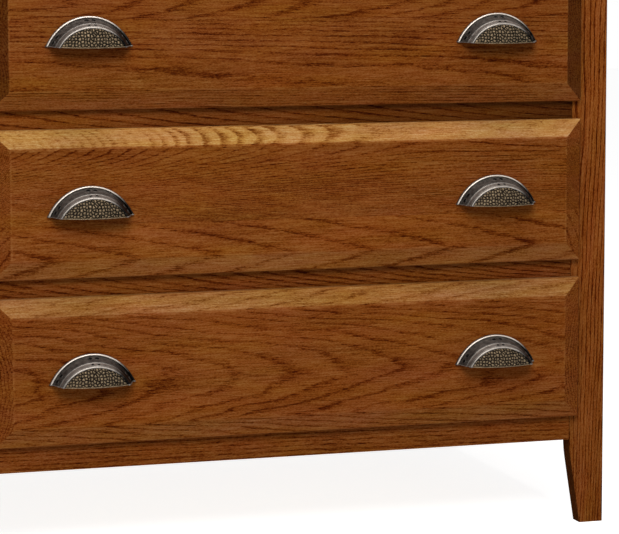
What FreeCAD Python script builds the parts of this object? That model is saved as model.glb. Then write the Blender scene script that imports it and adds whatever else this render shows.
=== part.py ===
import FreeCAD, Part
import os

from FreeCAD import Vector

# A chest of drawers in oak: a face frame whose stiles run down into tapered legs, framed and panelled
# sides, a solid top, and overlay drawers with bevelled fronts, cup pulls and full-extension slides.
# Millimetres. X runs along the front, -Y is the front, +Z is up. The origin is on the floor, under the
# middle of the whole chest. Depths are measured from the front of the face frame until export.

# Case
case_width = 775.0
case_depth = 533.4
leg_height = 101.5
bottom_reveal = 30.0
drawer_gap = 21.0
top_reveal = 25.5
top_thickness = 25.0
top_overhang = 19.0
top_edge_round = 6.0
top_underside_round = 3.0

# Face frame and legs
frame_thickness = 19.0
stile_width = 44.2
foot_width = 30.0
taper_drop = 12.0
taper_radius = 170.0
outer_edge_round = 2.5
joint_ease = 0.6
tenon_length = 12.0
tenon_thickness = 6.4
tenon_shoulder = 6.0
mortise_play = 0.5

# Side frames and back
side_top_rail_height = 58.0
side_bottom_rail_height = 70.0
panel_thickness = 6.4
groove_depth = 9.0
groove_play = 1.0
back_thickness = 6.4
back_rabbet = 9.0
back_rail_thickness = 19.0
back_rail_height = 60.0
top_cleat_size = 19.0
top_cleat_end_room = 16.0

# Drawer fronts
drawer_count = 3
front_height = 166.0
front_overlay = 6.4
lip_thickness = 10.0
bevel_width = 21.6
bevel_depth = 9.5
lip_ease = 1.0
field_ease = 0.6
closing_gap = 0.5

# Drawer boxes
board_thickness = 12.7
box_top_room = 16.0
box_bottom_room = 10.2
box_rear_room = 25.6
bottom_thickness = 6.4
bottom_lift = 12.0
bottom_groove = 6.0
bottom_play = 0.5
tail_count = 4
tail_gap = 8.0
tail_slope = 1.0 / 6.0

# Slides: three nested channels on each side of a drawer, with caged balls between them
slide_gap = 12.7
slide_height = 45.0
slide_gauge = 1.2
slide_race = 3.2
slide_lift = 45.0
slide_setback = 3.0
slide_end_room = 4.0
slide_hold = 10.0
cabinet_flange = 10.5
middle_web_offset = 3.4
middle_flange_clearance = 1.7
drawer_flange = 6.7
ball_diameter = 2.6
ball_count = 6
cage_thickness = 0.8
cage_width = 4.0
cage_end_room = 10.0
outer_ball_offset = 7.0
inner_ball_offset = 8.4
cleat_height = 60.0
cleat_rear_gap = 5.0

# Cup pulls
pull_width = 97.2
pull_rise = 33.0
pull_dip = 1.4
pull_projection = 28.0
pull_rim = 2.2
pull_rim_crown = 1.4
pull_band_foot = 4.2
pull_band_top = 22.0
pull_ring_depth = 23.5
pull_wall = 2.0
pull_mouth_drop = 8.0
pull_inset = 110.2
pull_lift = 71.0
pull_hole_spacing = 76.2
pull_post_radius = 3.8
pull_post_lift = 6.0

# Reach of an arch's handles as a share of its half width
arch_fullness = 0.58

# Height of a cubic arch as a share of its handles' height
CUBIC_CROWN = 0.75

# Width and height of the nested arches of a pull, as shares of its rim's
rim_crown_arch = (0.97, 0.965)
band_arch = (0.94, 0.93)
ring_arch = (0.79, 0.665)
dome_arch = (0.735, 0.59)
nose_share = 0.08
dome_steps = 6

# Screws
screw_radius = 2.0
screw_clearance = 0.1
screw_head_radius = 3.9
screw_head_height = 2.4
slide_screw_head_height = 1.4
slide_screw_length = 9.0
slide_screw_inset = 35.0
front_screw_bite = 12.0
front_screw_inset = 130.0
front_screw_edge = 24.0
pull_screw_bite = 4.0
top_screw_bite = 12.0
top_screw_inset = 40.0

# Places that follow from the sizes above
half_case = case_width / 2
opening_half = half_case - stile_width
opening_height = front_height - 2 * front_overlay
front_half = opening_half + front_overlay
front_thickness = lip_thickness + bevel_depth
drawer_pitch = front_height + drawer_gap
lowest_front = leg_height + bottom_reveal
case_height = lowest_front + drawer_count * drawer_pitch - drawer_gap + top_reveal
side_inner = half_case - frame_thickness
side_rail_front = stile_width
side_rail_back = case_depth - stile_width
box_half = opening_half - slide_gap
box_front_y = -closing_gap
box_length = case_depth - back_thickness - back_rail_thickness - box_rear_room
box_height = opening_height - box_top_room - box_bottom_room
box_base = front_overlay + box_bottom_room
slide_front = slide_setback
slide_length = box_length - slide_setback - slide_end_room
slide_back = slide_front + slide_length
slide_travel = slide_length - slide_hold
slide_level = box_base + slide_lift
middle_half = slide_height / 2 - slide_gauge - slide_race
inner_half = middle_half - slide_gauge - slide_race
field_y = box_front_y - front_thickness
face_shift = (front_thickness + closing_gap + pull_projection - case_depth) / 2
SIDES = (("left", -1), ("right", 1))


def box(x_range, y_range, z_range):
    """A block between two values on each axis, given in either order."""
    lows = [min(pair) for pair in (x_range, y_range, z_range)]
    sizes = [abs(pair[1] - pair[0]) for pair in (x_range, y_range, z_range)]
    return Part.makeBox(sizes[0], sizes[1], sizes[2], Vector(*lows))


def cut_all(shape, tools):
    """The shape less every tool."""
    for tool in tools:
        shape = shape.cut(tool)
    return shape


def joined(shapes):
    """One solid from shapes that overlap or touch."""
    whole = shapes[0]
    for shape in shapes[1:]:
        whole = whole.fuse(shape)
    return whole.removeSplitter()


def mirrored(shape):
    """The same piece for the other side of the chest."""
    return shape.mirror(Vector(0, 0, 0), Vector(1, 0, 0))


def for_side(shape, side):
    """A piece made for the right side, on the side asked for."""
    return shape if side > 0 else mirrored(shape)


def raised(shape, height):
    """A copy of the shape, lifted."""
    copy = shape.copy()
    copy.translate(Vector(0, 0, height))
    return copy


def edges_along(shape, axis, keep):
    """The straight edges parallel to an axis whose centre passes a test."""
    found = []
    for edge in shape.Edges:
        direction = edge.Vertexes[-1].Point - edge.Vertexes[0].Point
        straight = edge.Curve.TypeId == "Part::GeomLine"
        if straight and direction.cross(axis).Length < 1e-6 and keep(edge.CenterOfMass):
            found.append(edge)
    return found


def near(value, target):
    """Whether two lengths are the same for picking edges."""
    return abs(value - target) < 1e-4


X_AXIS = Vector(1, 0, 0)
Y_AXIS = Vector(0, 1, 0)
Z_AXIS = Vector(0, 0, 1)


def leg_board(outer, inner, foot_inner, thickness_range, across):
    """A stile with a tapered leg: straight outside, its inner edge running in to the foot.

    across is X for a board in the front frame, and Y for one in a side frame."""
    taper_top = leg_height - taper_drop

    def point(along, height):
        start = thickness_range[0]
        return Vector(along, start, height) if across == X_AXIS else Vector(start, along, height)

    corners = [
        point(outer, 0),
        point(outer, case_height),
        point(inner, case_height),
        point(inner, taper_top),
        point(foot_inner, 0),
    ]
    face = Part.Face(Part.makePolygon(corners + corners[:1]))
    depth = thickness_range[1] - thickness_range[0]
    board = face.extrude(Y_AXIS * depth if across == X_AXIS else X_AXIS * depth)
    thickness_axis = Y_AXIS if across == X_AXIS else X_AXIS
    bend = edges_along(board, thickness_axis, lambda centre: near(centre.z, taper_top))
    return board.makeFillet(taper_radius, bend)


def tenon(x_range, z_range):
    """The tongue of a front rail at its right end."""
    middle = frame_thickness / 2
    y_range = (middle - tenon_thickness / 2, middle + tenon_thickness / 2)
    return box(x_range, y_range, (z_range[0] + tenon_shoulder, z_range[1] - tenon_shoulder))


def front_rail_levels():
    """Name and height range of each rail of the face frame, from the bottom up."""
    levels = [("bottom_front_rail", leg_height, lowest_front + front_overlay)]
    names = {1: "lower_drawer_rail", 2: "upper_drawer_rail"}
    for number in range(1, drawer_count):
        front_bottom = lowest_front + number * drawer_pitch
        low = front_bottom - drawer_gap - front_overlay
        levels.append((names[number], low, front_bottom + front_overlay))
    last_front_top = lowest_front + drawer_count * drawer_pitch - drawer_gap
    levels.append(("top_front_rail", last_front_top - front_overlay, case_height))
    return levels


def front_rail(low, high):
    """A rail of the face frame with a tongue at each end."""
    rail = box((-opening_half, opening_half), (0, frame_thickness), (low, high))
    rail = rail.makeChamfer(joint_ease, edges_along(rail, Z_AXIS, lambda centre: near(centre.y, 0)))
    tongue = tenon((opening_half, opening_half + tenon_length), (low, high))
    return joined([rail, tongue, mirrored(tongue)])


def front_stile():
    """The right stile of the face frame, mortised for the rails."""
    stile = leg_board(half_case, opening_half, half_case - foot_width, (0, frame_thickness), X_AXIS)
    outer = edges_along(stile, Z_AXIS, lambda c: near(c.x, half_case) and near(c.y, 0))
    stile = stile.makeFillet(outer_edge_round, outer)
    inner = edges_along(stile, Z_AXIS, lambda c: near(c.x, opening_half) and near(c.y, 0))
    stile = stile.makeChamfer(joint_ease, inner)
    depth = tenon_length + mortise_play
    mortises = [
        tenon((opening_half, opening_half + depth), (low, high))
        for _, low, high in front_rail_levels()
    ]
    return cut_all(stile, mortises)


def side_panel_space(play):
    """The right side's panel, or with play the room that its grooves give it."""
    middle = half_case - frame_thickness / 2
    reach = groove_depth - groove_play + play
    return box(
        (middle - panel_thickness / 2, middle + panel_thickness / 2),
        (side_rail_front - reach, side_rail_back + reach),
        (leg_height + side_bottom_rail_height - reach, case_height - side_top_rail_height + reach),
    )


def side_tenon(y_range, z_range):
    """The tongue of a side rail at one end."""
    middle = half_case - frame_thickness / 2
    x_range = (middle - tenon_thickness / 2, middle + tenon_thickness / 2)
    return box(x_range, y_range, (z_range[0] + tenon_shoulder, z_range[1] - tenon_shoulder))


def side_frame():
    """The right side's stiles, rails and panel, by name."""
    thickness = (side_inner, half_case)
    groove = side_panel_space(groove_play)
    levels = {
        "side_bottom_rail": (leg_height, leg_height + side_bottom_rail_height),
        "side_top_rail": (case_height - side_top_rail_height, case_height),
    }
    front = leg_board(frame_thickness, side_rail_front, foot_width, thickness, Y_AXIS)
    back = leg_board(case_depth, side_rail_back, case_depth - foot_width, thickness, Y_AXIS)
    rabbet = box(
        (side_inner, side_inner + back_rabbet),
        (case_depth - back_thickness, case_depth),
        (leg_height, case_height),
    )
    back = back.cut(rabbet)
    outer = edges_along(back, Z_AXIS, lambda c: near(c.x, half_case) and near(c.y, case_depth))
    back = back.makeFillet(outer_edge_round, outer)
    pieces = {"side_panel": side_panel_space(0)}
    front_tools = [groove]
    back_tools = [groove]
    for name, level in levels.items():
        rail = box(thickness, (side_rail_front, side_rail_back), level)
        front_tongue = side_tenon((side_rail_front - tenon_length, side_rail_front), level)
        back_tongue = side_tenon((side_rail_back, side_rail_back + tenon_length), level)
        pieces[name] = joined([rail.cut(groove), front_tongue.cut(groove), back_tongue.cut(groove)])
        depth = tenon_length + mortise_play
        front_tools.append(side_tenon((side_rail_front - depth, side_rail_front), level))
        back_tools.append(side_tenon((side_rail_back, side_rail_back + depth), level))
    pieces["side_front_stile"] = cut_all(front, front_tools)
    pieces["side_back_stile"] = cut_all(back, back_tools)
    return pieces


def back_pieces():
    """The back panel and the rails that it is fixed to."""
    rail_y = (case_depth - back_thickness - back_rail_thickness, case_depth - back_thickness)
    panel_half = side_inner + back_rabbet
    span = (-side_inner, side_inner)
    return {
        "back_panel": box(
            (-panel_half, panel_half),
            (case_depth - back_thickness, case_depth),
            (leg_height, case_height),
        ),
        "back_top_rail": box(span, rail_y, (case_height - back_rail_height, case_height)),
        "back_bottom_rail": box(span, rail_y, (leg_height, leg_height + back_rail_height)),
    }


def top_panel():
    """The solid top, over the front and both sides, with rounded edges."""
    half = half_case + top_overhang
    top = box((-half, half), (-top_overhang, case_depth), (case_height, case_height + top_thickness))

    def shown_edges(shape, level):
        centres = [(edge, edge.CenterOfMass) for edge in shape.Edges]
        return [e for e, c in centres if near(c.z, level) and not near(c.y, case_depth)]

    top = top.makeFillet(top_edge_round, shown_edges(top, case_height + top_thickness))
    return top.makeFillet(top_underside_round, shown_edges(top, case_height))


def screw(head_seat, direction, length, head_height):
    """A pan-head screw: its head stands on the seat, its shank runs along the direction."""
    shank = Part.makeCylinder(screw_radius, length, head_seat, direction)
    head = Part.makeCylinder(screw_head_radius, head_height, head_seat, direction * -1)
    rim = [e for e in head.Edges if near(e.CenterOfMass.distanceToPoint(head_seat), head_height)]
    head = head.makeFillet(head_height / 2, [e for e in rim if e.Curve.TypeId == "Part::GeomCircle"])
    return shank.fuse(head)


def screw_hole(start, direction, length):
    """The clearance that a screw's shank runs in."""
    return Part.makeCylinder(screw_radius + screw_clearance, length + screw_clearance, start, direction)


def top_cleat():
    """The strip on the right side's top rail that the top is screwed down to."""
    return box(
        (side_inner - top_cleat_size, side_inner),
        (side_rail_front + top_cleat_end_room, side_rail_back - top_cleat_end_room),
        (case_height - top_cleat_size, case_height),
    )


def top_screw_seats():
    """Where the right cleat's screws have their heads."""
    first = side_rail_front + top_cleat_end_room + top_screw_inset
    last = side_rail_back - top_cleat_end_room - top_screw_inset
    x = side_inner - top_cleat_size / 2
    z = case_height - top_cleat_size
    return [Vector(x, y, z) for y in (first, (first + last) / 2, last)]


def slide_cleat():
    """The block behind the right stile that carries a slide, level with a front's lower edge at zero."""
    return box(
        (opening_half, side_inner),
        (frame_thickness, case_depth - back_thickness - cleat_rear_gap),
        (slide_level - cleat_height / 2, slide_level + cleat_height / 2),
    )


def channel(web, flange_end, half_height):
    """A right slide channel: a web between two offsets from the cleat, with a flange above and below.

    Offsets run from the cleat towards the drawer."""
    y_range = (slide_front, slide_back)

    def part(first, second, low, high):
        x_range = (opening_half - first, opening_half - second)
        return box(x_range, y_range, (slide_level + low, slide_level + high))

    upright = part(web[0], web[1], -half_height, half_height)
    upper = part(web[0], flange_end, half_height - slide_gauge, half_height)
    lower = part(web[0], flange_end, -half_height, slide_gauge - half_height)
    return joined([upright, upper, lower])


def slide_screw_depths():
    """How far back the screws of a slide are."""
    return (
        slide_front + slide_screw_inset,
        (slide_front + slide_back) / 2,
        slide_back - slide_screw_inset,
    )


def cabinet_channel():
    """The outer channel on the right, drilled for its screws."""
    member = channel((0, slide_gauge), cabinet_flange, slide_height / 2)
    return cut_all(member, cabinet_screw_holes(slide_gauge))


def cabinet_screw_seats():
    """Where the heads of the right outer channel's screws seat."""
    x = opening_half - slide_gauge
    return [Vector(x, y, slide_level) for y in slide_screw_depths()]


def cabinet_screw_holes(length):
    """Holes for the right outer channel's screws."""
    return [screw_hole(seat, X_AXIS, length) for seat in cabinet_screw_seats()]


def middle_channel():
    """The middle channel on the right."""
    web = (middle_web_offset, middle_web_offset + slide_gauge)
    return channel(web, slide_gap - middle_flange_clearance, middle_half)


def drawer_channel():
    """The inner channel on the right, which is screwed to the drawer's side."""
    member = channel((slide_gap, slide_gap - slide_gauge), slide_gap - drawer_flange, inner_half)
    return cut_all(member, drawer_slide_holes(slide_gauge))


def drawer_slide_seats():
    """Where the heads of the right inner channel's screws seat."""
    x = box_half + slide_gauge
    return [Vector(x, y, slide_level) for y in slide_screw_depths()]


def drawer_slide_holes(length):
    """Holes for the right inner channel's screws."""
    return [screw_hole(seat, X_AXIS * -1, length) for seat in drawer_slide_seats()]


def ball_cage(offset, level, y_range):
    """A strip that holds a row of balls in a race of the right slide."""
    x = opening_half - offset
    strip = box(
        (x - cage_width / 2, x + cage_width / 2),
        y_range,
        (level - cage_thickness / 2, level + cage_thickness / 2),
    )
    step = (y_range[1] - y_range[0]) / ball_count
    balls = [
        Part.makeSphere(ball_diameter / 2, Vector(x, y_range[0] + (number + 0.5) * step, level))
        for number in range(ball_count)
    ]
    return joined([strip] + balls)


def ball_cages():
    """The four cages of the right slide, which stay inside both channels over the whole travel."""
    half_travel = slide_travel / 2
    outer_y = (slide_front + half_travel + cage_end_room, slide_back - cage_end_room)
    inner_y = (slide_front + cage_end_room, slide_back - half_travel - cage_end_room)
    outer_level = middle_half + slide_race / 2
    inner_level = inner_half + slide_race / 2
    cages = []
    for direction in (-1, 1):
        cages.append(ball_cage(outer_ball_offset, slide_level + direction * outer_level, outer_y))
        cages.append(ball_cage(inner_ball_offset, slide_level + direction * inner_level, inner_y))
    return cages


def rectangle(half_width, y, low, high):
    """An upright rectangle that faces the front."""
    corners = [
        Vector(-half_width, y, low),
        Vector(half_width, y, low),
        Vector(half_width, y, high),
        Vector(-half_width, y, high),
    ]
    return Part.makePolygon(corners + corners[:1])


def drawer_front():
    """The overlay front: a lip all round with an eased edge, and a bevel up to a flat field."""
    lip_y = box_front_y - lip_thickness
    slope = bevel_depth / bevel_width
    sections = [
        (0, box_front_y),
        (0, lip_y + lip_ease),
        (lip_ease, lip_y - lip_ease * slope),
        (bevel_width - field_ease, field_y + field_ease * slope),
        (bevel_width + field_ease, field_y),
    ]
    wires = [rectangle(front_half - inset, y, inset, front_height - inset) for inset, y in sections]
    return Part.makeLoft(wires, True, True)


def tails(y_end, inward):
    """The dovetails at one end of the right side board."""
    pitch = box_height / tail_count
    wide = (pitch - tail_gap) / 2
    narrow = wide - board_thickness * tail_slope
    shapes = []
    for number in range(tail_count):
        centre = box_base + (number + 0.5) * pitch
        root = y_end + inward * board_thickness
        corners = [
            Vector(box_half, y_end, centre - wide),
            Vector(box_half, y_end, centre + wide),
            Vector(box_half, root, centre + narrow),
            Vector(box_half, root, centre - narrow),
        ]
        face = Part.Face(Part.makePolygon(corners + corners[:1]))
        shapes.append(face.extrude(X_AXIS * -board_thickness))
    return shapes


def drawer_box():
    """The box behind a front: dovetailed boards and a bottom let into grooves, by name."""
    z_range = (box_base, box_base + box_height)
    back_y = box_front_y + box_length
    inner = box_half - board_thickness
    reach = bottom_groove - bottom_play
    bottom_z = (box_base + bottom_lift, box_base + bottom_lift + bottom_thickness)
    inside_y = (box_front_y + board_thickness, back_y - board_thickness)

    def bottom(extra):
        return box(
            (-inner - reach - extra, inner + reach + extra),
            (inside_y[0] - reach - extra, inside_y[1] + reach + extra),
            bottom_z,
        )

    groove = bottom(bottom_play)
    side_tails = tails(box_front_y, 1) + tails(back_y, -1)
    side = joined([box((inner, box_half), inside_y, z_range)] + side_tails)
    side = cut_all(side, [groove] + drawer_slide_holes(slide_screw_length))
    sockets = side_tails + [mirrored(tail) for tail in side_tails]
    front = box((-box_half, box_half), (box_front_y, inside_y[0]), z_range)
    back = box((-box_half, box_half), (inside_y[1], back_y), z_range)
    return {
        "box_front": cut_all(front, sockets + [groove]),
        "left_side": mirrored(side),
        "right_side": side,
        "back": cut_all(back, sockets + [groove]),
        "bottom": bottom(0),
    }


def bow(half_width, y, end, crown):
    """A full, round arch over a pull's width from its left end to its right end."""
    handle = end + (crown - end) / CUBIC_CROWN
    curve = Part.BezierCurve()
    curve.setPoles([
        Vector(-half_width, y, end),
        Vector(-half_width * arch_fullness, y, handle),
        Vector(half_width * arch_fullness, y, handle),
        Vector(half_width, y, end),
    ])
    return curve.toShape()


def arch(width_share, height_share, depth):
    """A wire across a pull at one depth: a round arch above, and the shallow dip of the mouth below."""
    half = pull_width / 2 * width_share
    end = -pull_dip * (1 - width_share ** 2)
    left = Vector(-half, -depth, end)
    right = Vector(half, -depth, end)
    upper = bow(half, -depth, end, pull_rise * height_share)
    lower = Part.BezierCurve()
    lower.setPoles([right, Vector(0, -depth, -2 * pull_dip - end), left])
    return Part.Wire([upper, lower.toShape()])


def hollow_arch(half_width, rise, y):
    """A wire of a pull's hollow at one depth, which runs down out of its mouth."""
    floor = -pull_dip - pull_mouth_drop
    left = Vector(-half_width, y, 0)
    right = Vector(half_width, y, 0)
    low_right = Vector(half_width, y, floor)
    low_left = Vector(-half_width, y, floor)
    upper = bow(half_width, y, 0, rise)
    sides = Part.makePolygon([right, low_right, low_left, left])
    return Part.Wire([upper] + sides.Edges)


def pull_profile():
    """Width share, height share and standing depth of each arch of a pull's cup, from its band to its nose."""
    profile = [
        (*band_arch, pull_band_foot),
        (*ring_arch, pull_band_top),
        (*dome_arch, pull_ring_depth),
    ]
    dome_width, dome_height = dome_arch
    for number in range(1, dome_steps + 1):
        share = dome_width + (nose_share - dome_width) * number / dome_steps
        bulge = 1 - ((share - nose_share) / (dome_width - nose_share)) ** 2
        depth = pull_ring_depth + (pull_projection - pull_ring_depth) * bulge
        profile.append((share, dome_height * share / dome_width, depth))
    return profile


def cup_pull():
    """A cup pull about its own middle, standing out of the plane y = 0: a thin shell, open below."""
    outside = [
        arch(1.0, 1.0, 0.0),
        arch(1.0, 1.0, pull_rim),
        arch(*rim_crown_arch, pull_rim + pull_rim_crown),
    ]
    inside = []
    for width_share, height_share, depth in pull_profile():
        outside.append(arch(width_share, height_share, depth))
        inner_half = pull_width / 2 * width_share - pull_wall
        inner_rise = pull_rise * height_share - pull_wall
        if not inside:
            inside.append(hollow_arch(inner_half, inner_rise, pull_wall))
        if inner_half > pull_wall:
            inside.append(hollow_arch(inner_half, inner_rise, pull_wall - depth))
    shell = Part.makeLoft(outside, True, True)
    hollow = Part.makeLoft(inside, True, True)
    cup = shell.cut(hollow)
    for side in (-1, 1):
        root = Vector(side * pull_hole_spacing / 2, 0, pull_post_lift)
        post = Part.makeCylinder(pull_post_radius, pull_projection, root, Y_AXIS * -1)
        cup = cup.fuse(post.common(shell)).cut(screw_hole(root, Y_AXIS * -1, pull_screw_bite))
    return cup


def pull_centres():
    """The middle of each pull's lower edge on its front, from left to right."""
    x = front_half - pull_inset
    return [(name, Vector(side * x, field_y, pull_lift)) for name, side in SIDES]


def pull_screw_seats():
    """Where the pull screws have their heads, inside the box."""
    y = box_front_y + board_thickness
    seats = []
    for _, centre in pull_centres():
        for side in (-1, 1):
            x = centre.x + side * pull_hole_spacing / 2
            seats.append(Vector(x, y, centre.z + pull_post_lift))
    return seats


def front_screw_seats():
    """Where the screws that hold a front to its box have their heads."""
    y = box_front_y + board_thickness
    x = box_half - front_screw_inset
    low = box_base + front_screw_edge
    high = box_base + box_height - front_screw_edge
    return [Vector(side * x, y, z) for side in (-1, 1) for z in (low, high)]


def drawer():
    """Every piece of one drawer, by name, with its front's lower edge at height zero."""
    forward = Y_AXIS * -1
    pull_screw_length = board_thickness + front_thickness + pull_screw_bite
    front_screw_length = board_thickness + front_screw_bite
    holes = [screw_hole(seat, forward, pull_screw_length) for seat in pull_screw_seats()]
    holes += [screw_hole(seat, forward, front_screw_length) for seat in front_screw_seats()]
    pieces = {"front": cut_all(drawer_front(), holes)}
    pieces.update(drawer_box())
    pieces["box_front"] = cut_all(pieces["box_front"], holes)
    cup = cup_pull()
    for name, centre in pull_centres():
        placed = cup.copy()
        placed.translate(centre)
        pieces[name + "_pull"] = placed
    screws = [screw(s, forward, pull_screw_length, screw_head_height) for s in pull_screw_seats()]
    screws += [screw(s, forward, front_screw_length, screw_head_height) for s in front_screw_seats()]
    slide_screws = [
        screw(seat, X_AXIS * -1, slide_screw_length, slide_screw_head_height)
        for seat in drawer_slide_seats()
    ]
    screws += slide_screws + [mirrored(piece) for piece in slide_screws]
    pieces["screws"] = Part.makeCompound(screws)
    pieces["drawer_slides"] = pair(drawer_channel())
    pieces["middle_slides"] = pair(middle_channel())
    cages = ball_cages()
    pieces["ball_cages"] = Part.makeCompound(cages + [mirrored(cage) for cage in cages])
    return pieces


def pair(shape):
    """A piece and its mirror image, as one group."""
    return Part.makeCompound([shape, mirrored(shape)])


def front_levels():
    """Number of each drawer and the height of its front's lower edge; the top drawer is number one."""
    return [
        (drawer_count - step, lowest_front + step * drawer_pitch) for step in range(drawer_count)
    ]


def carcass():
    """Every piece of the fixed case, by name."""
    pieces = {"top_panel": top_panel()}
    for name, low, high in front_rail_levels():
        pieces[name] = front_rail(low, high)
    stile = front_stile()
    frame = side_frame()
    for name, side in SIDES:
        pieces[name + "_front_stile"] = for_side(stile, side)
        for part_name, shape in frame.items():
            pieces[name + "_" + part_name] = for_side(shape, side)
    pieces.update(back_pieces())
    cleat = cut_all(slide_cleat(), cabinet_screw_holes(slide_screw_length))
    outer_channel = cabinet_channel()
    slide_screws = [
        screw(seat, X_AXIS, slide_screw_length, slide_screw_head_height)
        for seat in cabinet_screw_seats()
    ]
    top_screw_length = top_cleat_size + top_screw_bite
    top_holes = [screw_hole(seat, Z_AXIS, top_screw_length) for seat in top_screw_seats()]
    top_screws = [screw(s, Z_AXIS, top_screw_length, screw_head_height) for s in top_screw_seats()]
    pieces["top_panel"] = cut_all(pieces["top_panel"], top_holes + [mirrored(h) for h in top_holes])
    pieces["top_cleats"] = pair(cut_all(top_cleat(), top_holes))
    cleats = []
    channels = []
    screws = top_screws + [mirrored(piece) for piece in top_screws]
    for _, level in front_levels():
        cleats.append(pair(raised(cleat, level)))
        channels.append(pair(raised(outer_channel, level)))
        lifted = [raised(piece, level) for piece in slide_screws]
        screws += lifted + [mirrored(piece) for piece in lifted]
    pieces["slide_cleats"] = Part.makeCompound(cleats)
    pieces["cabinet_slides"] = Part.makeCompound(channels)
    pieces["carcass_screws"] = Part.makeCompound(screws)
    return pieces


def export(name, shape):
    """Writes a node, moved from depths behind the face frame to the chest's own origin."""
    placed = shape.copy()
    placed.translate(Vector(0, face_shift, 0))
    placed.exportStep(os.path.join("parts", name + ".step"))


def main():
    """Builds every piece and writes one file for each."""
    os.makedirs("parts", exist_ok=True)
    for name, shape in carcass().items():
        export(name, shape)
    one_drawer = drawer()
    for number, level in front_levels():
        for name, shape in one_drawer.items():
            export("drawer_%d_%s" % (number, name), raised(shape, level))


main()
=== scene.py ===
"""Looks of an oak bachelors chest: bevelled drawer fronts, cast cup pulls and a framed case."""
import logging
import math
import random
from dataclasses import dataclass, replace
from enum import Enum
from typing import ClassVar

import bmesh
import bpy
from mathutils import Color, Matrix, Vector


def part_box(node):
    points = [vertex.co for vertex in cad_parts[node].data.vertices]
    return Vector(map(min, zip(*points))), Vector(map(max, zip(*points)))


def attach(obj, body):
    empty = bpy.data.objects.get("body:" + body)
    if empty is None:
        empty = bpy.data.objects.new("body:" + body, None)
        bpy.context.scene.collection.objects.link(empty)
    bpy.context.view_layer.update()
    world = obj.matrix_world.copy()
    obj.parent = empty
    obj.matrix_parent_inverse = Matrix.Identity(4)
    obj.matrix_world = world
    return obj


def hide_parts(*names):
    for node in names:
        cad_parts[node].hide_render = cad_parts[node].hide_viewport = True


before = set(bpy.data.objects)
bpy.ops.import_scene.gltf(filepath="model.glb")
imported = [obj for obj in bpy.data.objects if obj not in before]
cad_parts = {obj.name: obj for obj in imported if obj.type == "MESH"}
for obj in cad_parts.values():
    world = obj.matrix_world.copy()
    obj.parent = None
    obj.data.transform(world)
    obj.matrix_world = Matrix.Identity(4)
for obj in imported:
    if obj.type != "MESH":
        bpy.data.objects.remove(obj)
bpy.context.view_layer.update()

MILLIMETRE = 0.001
DRAWERS = (1, 2, 3)
HANDS = ("left", "right")
SCREEN_WHITE = 255.0
WHITE = (1.0, 1.0, 1.0, 1.0)
PALE_SWING = (0.1, 0.14, 0.22)
NUMBER = "NodeSocketFloat"
VECTOR = "NodeSocketVector"
COLOUR = "NodeSocketColor"
OBJECT = "NodeSocketObject"
TRUNK_INPUTS = (
    "Pith Across", "Pith Depth", "Tilt", "Bow", "Ring Width", "Early Share", "Wander", "Ripple", "Phase",
    "Seed",
)
PORE_MASKS = ("Pores", "Dash", "Streak", "Fibre", "Cloud")
STAIN_COLOURS = ("Light Colour", "Late Colour", "Early Colour", "Pore Colour", "Bevel Tint")
STAIN_STRENGTHS = ("Pore Strength", "Streak Strength", "Fibre Strength", "Cloud Strength")
METAL_COLOURS = ("Dark", "Bright")
METAL_VALUES = ("Roughness", "Mottle", "Cell")

Colour = tuple[float, float, float, float]
Pair = tuple[float, float]
Place = tuple[float, float, float]
Socket = bpy.types.NodeSocket
Term = bpy.types.NodeSocket | float | tuple | bpy.types.Material

log = logging.getLogger("chest")


def stain(red: int, green: int, blue: int) -> Colour:
    """Turn a colour as a screen shows it into the linear colour that a shader takes.

    Args:
        red: Red from 0 to 255.
        green: Green from 0 to 255.
        blue: Blue from 0 to 255.

    Returns:
        The linear colour with full opacity.
    """
    shown = Color((red / SCREEN_WHITE, green / SCREEN_WHITE, blue / SCREEN_WHITE))
    return (*shown.from_srgb_to_scene_linear(), 1.0)


def smooth_step(share: float) -> float:
    """Ease a share from 0 to 1, flat at both ends."""
    held = min(1.0, max(0.0, share))
    return held * held * (3.0 - 2.0 * held)


def field_of(label: str) -> str:
    """Turn the label of an input into the name of the field that feeds it."""
    return label.lower().replace(" ", "_")


@dataclass(frozen=True)
class Ramp:
    """A smooth change from a low to a high number, and the levels where it starts and ends."""

    start: Term
    end: Term
    low: float = 0.0
    high: float = 1.0


@dataclass(frozen=True)
class Pattern:
    """A cloudy pattern: the three lengths of its cells, and how fine and rough it is."""

    cell: Place
    detail: float = 2.0
    roughness: float = 0.5


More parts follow.
